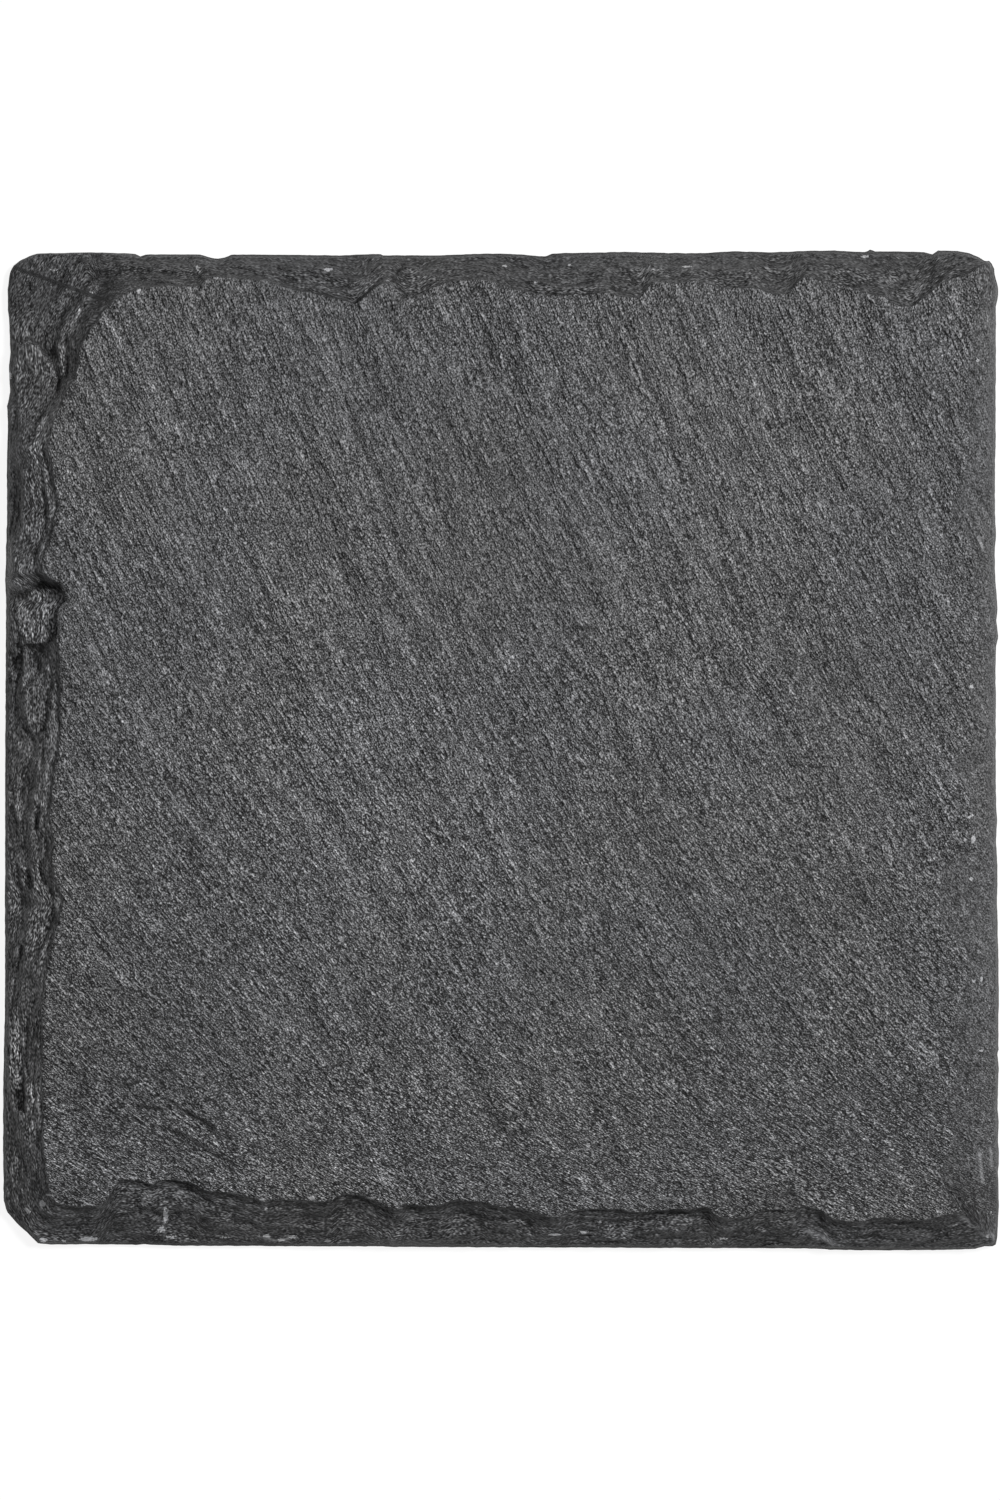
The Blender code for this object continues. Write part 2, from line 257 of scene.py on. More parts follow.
def in_area(x, y, points):
    """Signed distance to a closed outline, positive inside."""
    p = np.array(points + [points[0]], float)
    best = np.full(x.shape, 1e9)
    inside = np.zeros(x.shape, bool)
    for a, b in zip(p[:-1], p[1:]):
        d = b - a
        size2 = float(d @ d)
        t = np.clip(((x - a[0]) * d[0] + (y - a[1]) * d[1]) / size2, 0, 1)
        best = np.minimum(best, np.hypot(x - a[0] - d[0] * t, y - a[1] - d[1] * t))
        crosses = (a[1] > y) != (b[1] > y)
        with np.errstate(divide="ignore", invalid="ignore"):
            at = a[0] + (y - a[1]) * (b[0] - a[0]) / (b[1] - a[1] if b[1] != a[1] else 1e-9)
        inside ^= crosses & (x < at)
    return np.where(inside, best, -best)


# ---------------------------------------------------------------- the face's own relief

GRAIN_MID = math.radians(54.0)  # how steeply the grain runs down to the right in the middle of the face
GRAIN_TURN = math.radians(0.29)  # and how much steeper with each mm up


def grain(x, y):
    """Coordinates along and across the grain, which turns slowly from the south edge to the north edge."""
    angle = GRAIN_MID + GRAIN_TURN * y
    across = (x + np.log(np.sin(angle) / math.sin(GRAIN_MID)) / GRAIN_TURN) * math.sin(GRAIN_MID)
    across = across - 0.022 * np.minimum(y + 29.0, 0.0) ** 2
    along = x * math.cos(GRAIN_MID) - y * math.sin(GRAIN_MID)
    return along, across


def drift(x, y):
    """Coordinates along and across the long streaks, which run steeper than the grain and bend over at the lower left."""
    low = np.minimum(y - 15.0, 0.0)
    bend = 0.0006 + 0.0050 * smooth((5.0 - x) / 45.0) + 0.0015 * smooth((x - 15.0) / 25.0)
    return 0.42 * x - 0.91 * y, 0.91 * x + 0.42 * y - low * low * bend


def face_relief(x, y):
    """The split face: slow swells, long streaks, ripples, thin leaf edges, and the grain itself."""
    s, t = grain(x, y)
    wx = x + 0.9 * gnoise(x / 9, y / 9, 5)
    wy = y + 0.9 * gnoise(x / 9, y / 9, 6)
    ws, wt = drift(wx, wy)
    z = 0.08 * fbm(x / 31, y / 31, 21, 2)
    z += 0.24 * gnoise(ws / 34, wt / 5.2, 31)
    z += 0.19 * gnoise(ws / 24.0, wt / 2.8, 32)
    z += 0.135 * gnoise(ws / 16.0, wt / 1.7, 33)
    z += 0.085 * gnoise(ws / 10.0, wt / 1.05, 34)
    # leaf edges: a slow field cut into plateaus a few hundredths of a millimetre high
    field = 2.6 * fbm(ws / 18.0, wt / 7.0, 41, 3)
    z += 0.035 * (terrace(field, 1.0, 0.86) - field) * smooth(0.5 + 1.2 * gnoise(x / 14, y / 14, 42))
    z += 0.018 * (terrace(field * 2.3 + 5, 1.0, 0.8) - field * 2.3 - 5)
    # the coarsest grain that the mesh can hold
    z += 0.034 * gnoise(s / 2.4, t / 0.95, 51)
    return z


# ---------------------------------------------------------------- the bevel

# How the edge was broken, all the way round. Each row is a place along one side and then three knots of the profile
# there: the foot of the first scar under the crest, the outer edge of the ground below it, and the foot of the next
# scar. A knot is a share of the way from the crest to the rim, and a height.
PROFILE_NORTH = [
    (-48.0, 0.20, 2.6, 0.26, 2.55, 0.34, 1.75), (-44.0, 0.21, 2.65, 0.28, 2.6, 0.38, 1.8),
    (-39.5, 0.42, 2.7, 0.58, 2.5, 0.80, 1.9), (-35.0, 0.42, 3.3, 0.62, 3.0, 0.80, 2.1),
    (-31.0, 0.22, 4.1, 0.52, 3.5, 0.75, 2.2), (-27.0, 0.30, 3.9, 0.60, 3.1, 0.80, 2.1),
    (-22.0, 0.14, 4.4, 0.44, 3.7, 0.74, 2.2), (-18.0, 0.38, 3.7, 0.66, 3.2, 0.82, 2.1),
    (-14.5, 0.20, 4.3, 0.50, 3.8, 0.76, 2.2), (-11.0, 0.18, 4.3, 0.52, 3.5, 0.80, 2.2),
    (-6.0, 0.30, 4.0, 0.58, 3.2, 0.82, 2.1), (-2.0, 0.24, 4.1, 0.50, 3.4, 0.74, 2.2),
    (3.0, 0.30, 4.0, 0.45, 3.7, 0.68, 2.4), (8.0, 0.40, 3.5, 0.56, 3.3, 0.78, 2.1),
    (12.0, 0.34, 3.8, 0.60, 3.3, 0.80, 2.1), (16.0, 0.16, 4.3, 0.50, 3.7, 0.78, 2.2),
    (20.0, 0.22, 4.1, 0.42, 3.8, 0.62, 2.6), (24.0, 0.16, 4.4, 0.48, 4.0, 0.64, 2.7),
    (28.0, 0.38, 3.6, 0.60, 3.2, 0.80, 2.1), (32.0, 0.20, 4.3, 0.56, 3.6, 0.78, 2.3),
    (37.0, 0.34, 3.9, 0.60, 3.4, 0.80, 2.2), (41.0, 0.38, 3.8, 0.60, 3.3, 0.80, 2.3),
    (45.0, 0.30, 4.3, 0.55, 3.7, 0.80, 2.7),
]
PROFILE_EAST = [
    (47.0, 0.30, 4.6, 0.60, 4.0, 0.86, 3.0), (40.0, 0.34, 4.80, 0.64, 4.35, 0.88, 3.4),
    (28.0, 0.30, 4.78, 0.62, 4.30, 0.88, 3.3), (22.0, 0.30, 4.84, 0.62, 4.35, 0.88, 3.5),
    (0.0, 0.32, 4.80, 0.62, 4.30, 0.88, 3.4), (-14.0, 0.30, 4.76, 0.60, 4.25, 0.88, 3.3),
    (-36.0, 0.32, 4.80, 0.62, 4.28, 0.88, 3.3), (-44.0, 0.30, 4.6, 0.60, 4.0, 0.86, 2.9),
]
PROFILE_SOUTH = [
    (46.5, 0.30, 3.7, 0.62, 3.0, 0.84, 2.2), (42.0, 0.28, 3.5, 0.70, 2.7, 0.86, 1.9),
    (38.0, 0.30, 3.4, 0.72, 2.6, 0.86, 1.9), (33.0, 0.34, 3.3, 0.76, 2.5, 0.90, 1.8),
    (28.0, 0.34, 4.2, 0.62, 3.3, 0.84, 2.0), (24.0, 0.14, 4.3, 0.40, 3.4, 0.74, 2.0),
    (18.0, 0.18, 3.9, 0.52, 3.3, 0.70, 2.2), (12.0, 0.33, 3.4, 0.54, 3.1, 0.84, 2.1),
    (6.0, 0.38, 3.2, 0.48, 3.1, 0.80, 1.9), (0.0, 0.34, 3.5, 0.60, 2.9, 0.85, 1.9),
    (-4.0, 0.36, 3.3, 0.78, 2.7, 0.90, 1.8), (-10.0, 0.26, 3.7, 0.78, 2.7, 0.92, 1.7),
    (-16.0, 0.30, 3.6, 0.60, 3.0, 0.86, 1.9), (-20.0, 0.42, 3.1, 0.58, 2.9, 0.80, 2.0),
    (-24.0, 0.30, 3.8, 0.56, 3.1, 0.80, 2.0), (-28.0, 0.20, 4.1, 0.46, 3.5, 0.84, 1.9),
    (-33.0, 0.14, 4.4, 0.46, 3.7, 0.76, 2.2), (-38.0, 0.36, 3.6, 0.60, 3.1, 0.84, 2.0),
    (-42.0, 0.52, 2.6, 0.80, 2.1, 0.92, 1.7), (-46.0, 0.52, 2.6, 0.80, 2.1, 0.92, 1.7),
]
PROFILE_WEST = [
    (-47.0, 0.50, 2.7, 0.78, 2.2, 0.90, 1.8), (-42.0, 0.14, 4.2, 0.34, 3.7, 0.56, 2.5),
    (-36.0, 0.16, 4.1, 0.62, 3.2, 0.80, 2.0), (-31.0, 0.42, 3.0, 0.80, 2.6, 0.92, 1.7),
    (-26.0, 0.40, 3.1, 0.66, 2.7, 0.86, 1.8), (-20.0, 0.14, 4.1, 0.46, 3.5, 0.66, 2.3),
    (-16.0, 0.12, 4.2, 0.60, 3.5, 0.74, 2.2), (-12.5, 0.30, 3.5, 0.42, 3.4, 0.58, 2.5),
    (-9.0, 0.34, 3.4, 0.44, 3.3, 0.60, 2.5), (-4.0, 0.12, 4.4, 0.34, 4.1, 0.46, 3.0),
    (0.0, 0.12, 4.4, 0.34, 4.1, 0.46, 3.0), (5.0, 0.20, 4.0, 0.62, 3.4, 0.75, 2.2),
    (6.9, 0.34, 3.2, 0.62, 2.7, 0.82, 1.7), (9.4, 0.48, 2.2, 0.62, 1.9, 0.82, 1.5),
    (11.0, 0.24, 3.2, 0.60, 2.6, 0.90, 1.9), (14.8, 0.24, 3.2, 0.60, 2.6, 0.90, 1.9),
    (16.6, 0.16, 4.3, 0.80, 3.7, 0.93, 2.2),
    (18.5, 0.30, 4.0, 0.78, 3.5, 0.93, 1.9), (21.0, 0.34, 3.8, 0.78, 3.1, 0.93, 1.8),
    (25.0, 0.10, 4.4, 0.56, 3.9, 0.82, 2.0), (30.0, 0.20, 4.0, 0.58, 3.3, 0.84, 1.9),
    (35.0, 0.22, 2.9, 0.70, 2.5, 0.88, 1.7), (40.0, 0.26, 2.65, 0.34, 2.6, 0.44, 1.9),
]

# Level areas left by flakes: outline, height of the floor in the middle, its rise to the east, how softly it meets
# the stone around it.
TREADS = [
    # the flat-floored notch in the west edge
    ([(-48.5, 15.1), (-46.7, 16.2), (-45.5, 16.9), (-43.6, 16.2), (-43.3, 15.2), (-43.8, 13.2), (-44.1, 11.3),
      (-44.5, 10.8), (-47.8, 10.4), (-48.2, 12.9)], 2.95, 0.18, 0.34),
    # the terrace north of it, and the ground under the north-west corner
    ([(-47.7, 28.0), (-46.0, 27.8), (-45.3, 26.5), (-45.0, 24.2), (-45.6, 21.0), (-46.4, 18.6), (-47.4, 20.0),
      (-47.6, 24.0)], 3.75, 0.10, 0.5),
    ([(-48.3, 40.5), (-46.5, 40.7), (-45.5, 39.5), (-44.5, 37.8), (-44.5, 35.5), (-45.3, 33.6), (-46.4, 32.2),
      (-47.4, 33.0), (-48.2, 35.0), (-48.6, 38.0)], 2.35, 0.10, 0.35),
    ([(-42.9, 47.9), (-40.5, 48.1), (-40.2, 46.9), (-41.6, 46.0), (-42.5, 44.5), (-43.1, 44.5), (-43.5, 45.9),
      (-43.3, 47.4)], 2.0, 0.06, 0.3),
    # west edge below the notch
    ([(-47.4, 6.2), (-46.2, 6.6), (-45.2, 6.4), (-44.9, 4.6), (-45.2, 2.0), (-46.2, 1.2), (-47.3, 2.6)], 3.55, 0.10, 0.45),
    ([(-47.1, -16.2), (-44.4, -15.6), (-44.2, -16.6), (-45.4, -19.4), (-46.6, -21.2), (-47.6, -20.0)], 3.6, 0.14, 0.5),
    ([(-49.0, -27.5), (-47.8, -28.2), (-47.4, -32.0), (-47.3, -36.0), (-48.3, -36.0), (-49.0, -33.0)], 2.3, 0.16, 0.5),
    ([(-47.9, -11.6), (-46.9, -11.6), (-46.5, -13.6), (-47.3, -14.2), (-47.9, -12.9)], 2.5, 0.10, 0.35),
    # north edge
    ([(-15.4, 44.5), (-15.1, 46.1), (-14.3, 46.9), (-13.0, 46.7), (-12.5, 46.1), (-13.6, 45.3), (-14.4, 44.4)],
     4.45, 0.0, 0.35),
    ([(-11.2, 46.2), (-9.6, 48.1), (-8.7, 48.2), (-7.6, 47.5), (-6.0, 47.1), (-6.4, 46.1), (-7.2, 45.7),
      (-8.0, 45.2), (-8.9, 45.1), (-9.7, 45.3)], 4.3, 0.0, 0.35),
    ([(3.2, 46.9), (4.7, 46.4), (6.0, 46.1), (7.2, 46.1), (9.8, 46.4), (9.4, 45.4), (8.6, 45.0), (5.3, 45.0),
      (3.8, 45.2), (2.3, 45.6)], 4.4, 0.0, 0.3),
    ([(21.3, 46.9), (22.6, 47.7), (24.2, 47.2), (24.4, 46.4), (23.0, 45.9), (21.6, 46.0)], 4.3, 0.0, 0.35),
    ([(32.4, 46.5), (33.6, 47.9), (35.0, 48.2), (36.3, 47.8), (36.8, 46.9), (35.2, 46.0), (33.8, 46.0)], 4.15, 0.0, 0.35),
    ([(37.4, 46.5), (38.8, 47.7), (39.9, 48.2), (40.4, 47.7), (39.4, 46.6), (38.3, 46.2)], 3.75, 0.0, 0.35),
    ([(38.7, 45.0), (39.6, 46.1), (41.0, 46.7), (42.6, 46.4), (41.4, 45.4), (40.1, 44.7)], 4.35, 0.0, 0.35),
    # south edge
    ([(-7.0, -47.0), (-4.0, -46.4), (-1.2, -46.9), (-1.0, -48.0), (-3.6, -48.6), (-6.6, -48.2)], 3.0, 0.0, 0.5),
    ([(15.6, -46.0), (18.8, -46.0), (19.4, -47.0), (17.6, -48.2), (15.4, -47.8)], 3.45, 0.0, 0.5),
    ([(9.6, -47.3), (11.2, -47.1), (13.6, -48.2), (12.4, -49.0), (10.2, -48.8)], 2.7, 0.0, 0.4),
    ([(-36.0, -43.8), (-33.4, -43.4), (-31.6, -43.9), (-31.0, -45.6), (-33.2, -46.2), (-36.0, -45.4)], 4.1, 0.0, 0.7),
    ([(-13.4, -47.6), (-10.0, -46.9), (-8.6, -47.4), (-9.4, -48.8), (-12.6, -48.9)], 2.9, 0.0, 0.5),
]

# Steps: a line with lower ground on its right. drop, width of the riser, distance over which the ground recovers, and
# how much painted shade the riser gets.
STEPS = [
    # lower left of the face, where thin leaves have lifted
    ([(-38.3, -33.8), (-36.9, -33.3), (-35.4, -33.0)], 0.10, 0.35, 1.4, 0.2),
    ([(-37.2, -35.2), (-35.6, -35.75), (-33.8, -35.8), (-31.9, -35.7), (-30.5, -36.1), (-28.9, -37.3), (-27.7, -37.8)],
     0.13, 0.45, 1.0, 0.25),
    ([(-34.2, -37.5), (-32.4, -38.2), (-30.5, -39.2), (-29.1, -40.1), (-27.7, -40.8), (-26.3, -41.3), (-25.2, -42.0)],
     0.16, 0.6, 3.0, 0.22),
    ([(-39.5, -35.6), (-38.1, -36.9), (-36.9, -37.6), (-35.6, -38.7)], 0.10, 0.6, 2.0, 0.15),
    ([(-44.3, -30.9), (-42.7, -31.6), (-42.0, -32.7), (-40.6, -34.6)], 0.14, 0.4, 1.6, 0.12),
    # thin leaf beside the notch
    ([(-43.6, 11.8), (-42.9, 10.9), (-42.6, 9.9), (-42.7, 8.9)], -0.12, 0.3, 1.2, 0.3),
    ([(-42.5, 7.2), (-42.4, 5.9), (-42.7, 4.9), (-43.3, 3.9)], -0.14, 0.3, 1.0, 0.3),
]

# Creases: thin lines of painted shade at the foot of the lifted leaves on the face, and how dark the painted shade is.
CREASES = [
    ([(-36.6, -34.85), (-35.8, -35.35), (-34.8, -35.6), (-33.0, -35.65), (-32.0, -35.6), (-31.2, -35.9), (-30.2, -36.5),
      (-29.4, -37.0), (-28.7, -37.5), (-27.9, -37.9)], 1.0),
    ([(-33.2, -34.6), (-32.4, -35.1), (-31.7, -35.6)], 0.8),
    ([(-34.0, -37.2), (-33.2, -37.5), (-32.4, -37.9), (-31.4, -38.2), (-30.8, -38.6), (-30.0, -39.1), (-29.4, -39.5),
      (-28.5, -40.0), (-27.7, -40.5), (-26.7, -41.0), (-25.9, -41.5)], 0.85),
    ([(-39.3, -35.5), (-38.6, -36.0), (-38.0, -36.4), (-37.4, -37.1), (-36.6, -37.5)], 0.75),
    ([(-44.1, -30.7), (-43.2, -31.1), (-42.6, -31.5), (-42.0, -32.2), (-41.6, -33.0), (-41.0, -34.0), (-40.4, -34.6)], 0.6),
    ([(-38.2, -33.6), (-37.4, -33.3), (-36.6, -33.1), (-35.9, -32.9)], 1.0),
    ([(-35.2, -32.2), (-34.6, -32.7), (-33.8, -33.1), (-33.2, -33.7)], 0.45),
    ([(6.9, 12.3), (7.8, 12.15), (8.7, 12.1), (9.6, 11.9)], 0.9),
    ([(-14.9, -2.8), (-13.6, -3.6), (-12.2, -4.6)], 0.5),
    ([(-22.9, 22.7), (-21.6, 22.5), (-20.4, 22.9)], 0.4),
]

# Narrow shelves on the bevel: centre line, height, half width.
SHELVES = [
    ([(-40.5, 46.2), (-41.6, 44.4), (-42.9, 42.4), (-44.0, 41.1)], 2.75, 0.30),
    ([(-44.0, 40.7), (-43.7, 39.4), (-43.4, 38.3), (-43.5, 37.1)], 2.85, 0.36),
    ([(-43.7, 45.0), (-44.3, 43.6)], 2.1, 0.32),
    ([(-47.4, 9.9), (-47.4, 8.2), (-47.8, 5.2)], 2.9, 0.22),
    ([(-46.0, -5.6), (-46.3, -8.0), (-46.8, -9.4)], 3.5, 0.24),
    ([(-46.1, -10.6), (-45.8, -12.0), (-45.3, -13.4)], 3.5, 0.22),
    ([(-48.4, -5.2), (-47.7, -7.6), (-47.5, -8.8)], 2.5, 0.25),
]

# Cracks: line, depth, half width, and how dark the painted shade in the crack is.
CRACKS = [
    ([(33.5, 40.4), (34.2, 40.5), (34.9, 40.4), (35.5, 40.15)], 0.20, 0.15, 1.0),
    ([(-1.9, 46.9), (-2.4, 45.9), (-3.1, 45.1), (-3.7, 44.8)], 0.14, 0.12, 0.7),
    ([(-5.5, 46.0), (-5.8, 45.2), (-5.6, 44.4)], 0.08, 0.10, 0.4),
    ([(-46.3, 40.4), (-45.6, 39.7), (-44.9, 39.1), (-44.4, 38.4), (-44.1, 36.9), (-43.9, 35.0)], 0.35, 0.18, 0.15),
    ([(-40.2, 48.0), (-40.4, 47.1), (-40.3, 46.3)], 0.3, 0.15, 0.15),
    ([(24.0, 49.2), (23.4, 48.3)], 0.15, 0.12, 0.15),
    ([(37.0, 48.0), (37.7, 48.5), (38.2, 48.6)], 0.2, 0.12, 0.15),
    ([(39.9, 45.2), (41.1, 45.5), (42.3, 46.3), (43.5, 47.0), (44.5, 47.6), (45.4, 48.3)], 0.22, 0.16, 0.1),
    ([(44.6, 46.9), (45.7, 47.2), (46.7, 47.5), (47.3, 47.9), (47.9, 48.3)], 0.25, 0.16, 0.15),
    ([(41.9, 43.4), (43.0, 43.0), (44.4, 43.1), (45.2, 43.5)], 0.08, 0.12, 0.6),
    ([(-43.7, 12.0), (-42.9, 10.9), (-42.6, 9.9), (-42.7, 8.9)], 0.10, 0.10, 0.7),
    ([(-42.5, 7.2), (-42.4, 5.9), (-42.7, 4.9), (-43.3, 3.9)], 0.10, 0.10, 0.7),
    ([(-38.2, -33.6), (-36.6, -33.1), (-35.9, -32.9)], 0.08, 0.12, 0.2),
    ([(0.5, 48.0), (1.2, 47.9)], 0.20, 0.18, 0.8),
    ([(-29.3, 48.5), (-28.9, 48.5)], 0.20, 0.22, 0.9),
]

# Small pale spots of freshly broken stone: x, y, half length along x and along y, strength.
SPECKS = [
    (-47.2, -45.9, 0.25, 0.25, 0.9), (-45.6, -45.2, 0.30, 0.30, 0.9),
    (-45.6, -48.9, 0.35, 0.20, 0.9), (-43.6, -49.0, 0.25, 0.15, 0.7), (-41.1, -48.8, 0.75, 0.22, 1.0),
    (-33.35, -46.35, 0.22, 0.7, 0.8), (-33.8, -47.8, 0.30, 0.30, 0.7), (-32.9, -48.6, 0.5, 0.15, 0.6),
    (-27.6, -48.6, 0.5, 0.15, 0.5), (-23.4, -45.6, 0.15, 0.15, 0.8),
    (-23.3, -48.5, 0.30, 0.15, 0.9), (-21.9, -48.9, 0.40, 0.12, 0.8), (-20.7, -48.6, 0.40, 0.15, 0.8),
    (5.4, -48.3, 0.55, 0.10, 0.9),
    (8.3, -48.1, 0.3, 0.15, 0.8), (9.9, -47.0, 0.2, 0.12, 0.9), (10.9, -47.6, 0.6, 0.25, 0.4),
    (20.8, -49.2, 0.8, 0.25, 0.25), (22.2, -48.8, 0.4, 0.12, 0.6), (34.0, -48.3, 0.8, 0.10, 0.4),
    (48.7, -46.2, 0.30, 0.10, 0.9), (48.5, -48.5, 0.2, 0.12, 0.9),
    (46.8, 6.3, 0.20, 0.16, 0.9), (48.8, 6.2, 0.12, 0.12, 0.9), (46.8, -6.5, 0.25, 0.15, 0.7),
    (47.0, -8.9, 0.20, 0.40, 0.8), (46.8, -12.8, 0.18, 0.18, 0.9), (47.0, -23.0, 0.16, 0.16, 0.7),
    (47.8, -22.8, 0.10, 0.30, 0.8), (47.8, -30.0, 0.2, 0.12, 0.8), (46.4, -33.8, 0.15, 0.12, 0.7),
    (-17.2, 47.8, 0.40, 0.20, 0.7), (0.4, 48.2, 0.22, 0.15, 0.8),
    (3.5, 46.5, 0.12, 0.12, 0.9), (6.9, 48.3, 0.18, 0.12, 0.7), (18.6, 48.1, 0.50, 0.10, 0.8),
    (-30.1, 48.0, 0.3, 0.25, 0.5), (36.4, 49.2, 0.35, 0.15, 0.7), (-49.0, 37.4, 0.2, 0.3, 0.8),
    (-48.9, 42.9, 0.15, 0.2, 0.6), (-44.8, 46.3, 0.1, 0.1, 0.6), (47.4, 38.7, 0.16, 0.20, 0.7),
    (-40.5, 41.8, 0.22, 0.14, 0.8), (-46.5, 49.0, 0.2, 0.1, 0.6), (-44.5, 47.9, 0.4, 0.10, 0.6),
]

# The same on the split face, most of them where the crest is chipped.
FACE_SPECKS = [
    (-36.46, -42.51, 0.42, 0.10), (-34.77, -42.91, 0.22, 0.12), (-44.80, -44.25, 0.32, 0.10), (-41.02, -45.15, 0.60, 0.09),
    (-18.67, -44.45, 0.25, 0.18), (-13.01, -44.55, 0.30, 0.12), (-23.44, -44.65, 0.32, 0.10), (1.39, -45.15, 0.12, 0.09),
    (17.88, -44.80, 0.12, 0.26), (30.79, -44.00, 0.10, 0.10), (43.61, -45.84, 0.34, 0.11), (-35.96, 45.59, 0.18, 0.22),
    (-43.41, -4.17, 0.32, 0.08), (-45.00, -27.22, 0.16, 0.10), (18.20, -40.40, 0.09, 0.20), (0.50, 8.25, 0.13, 0.20),
    (0.84, 8.72, 0.13, 0.20), (1.22, 9.20, 0.13, 0.20),
]
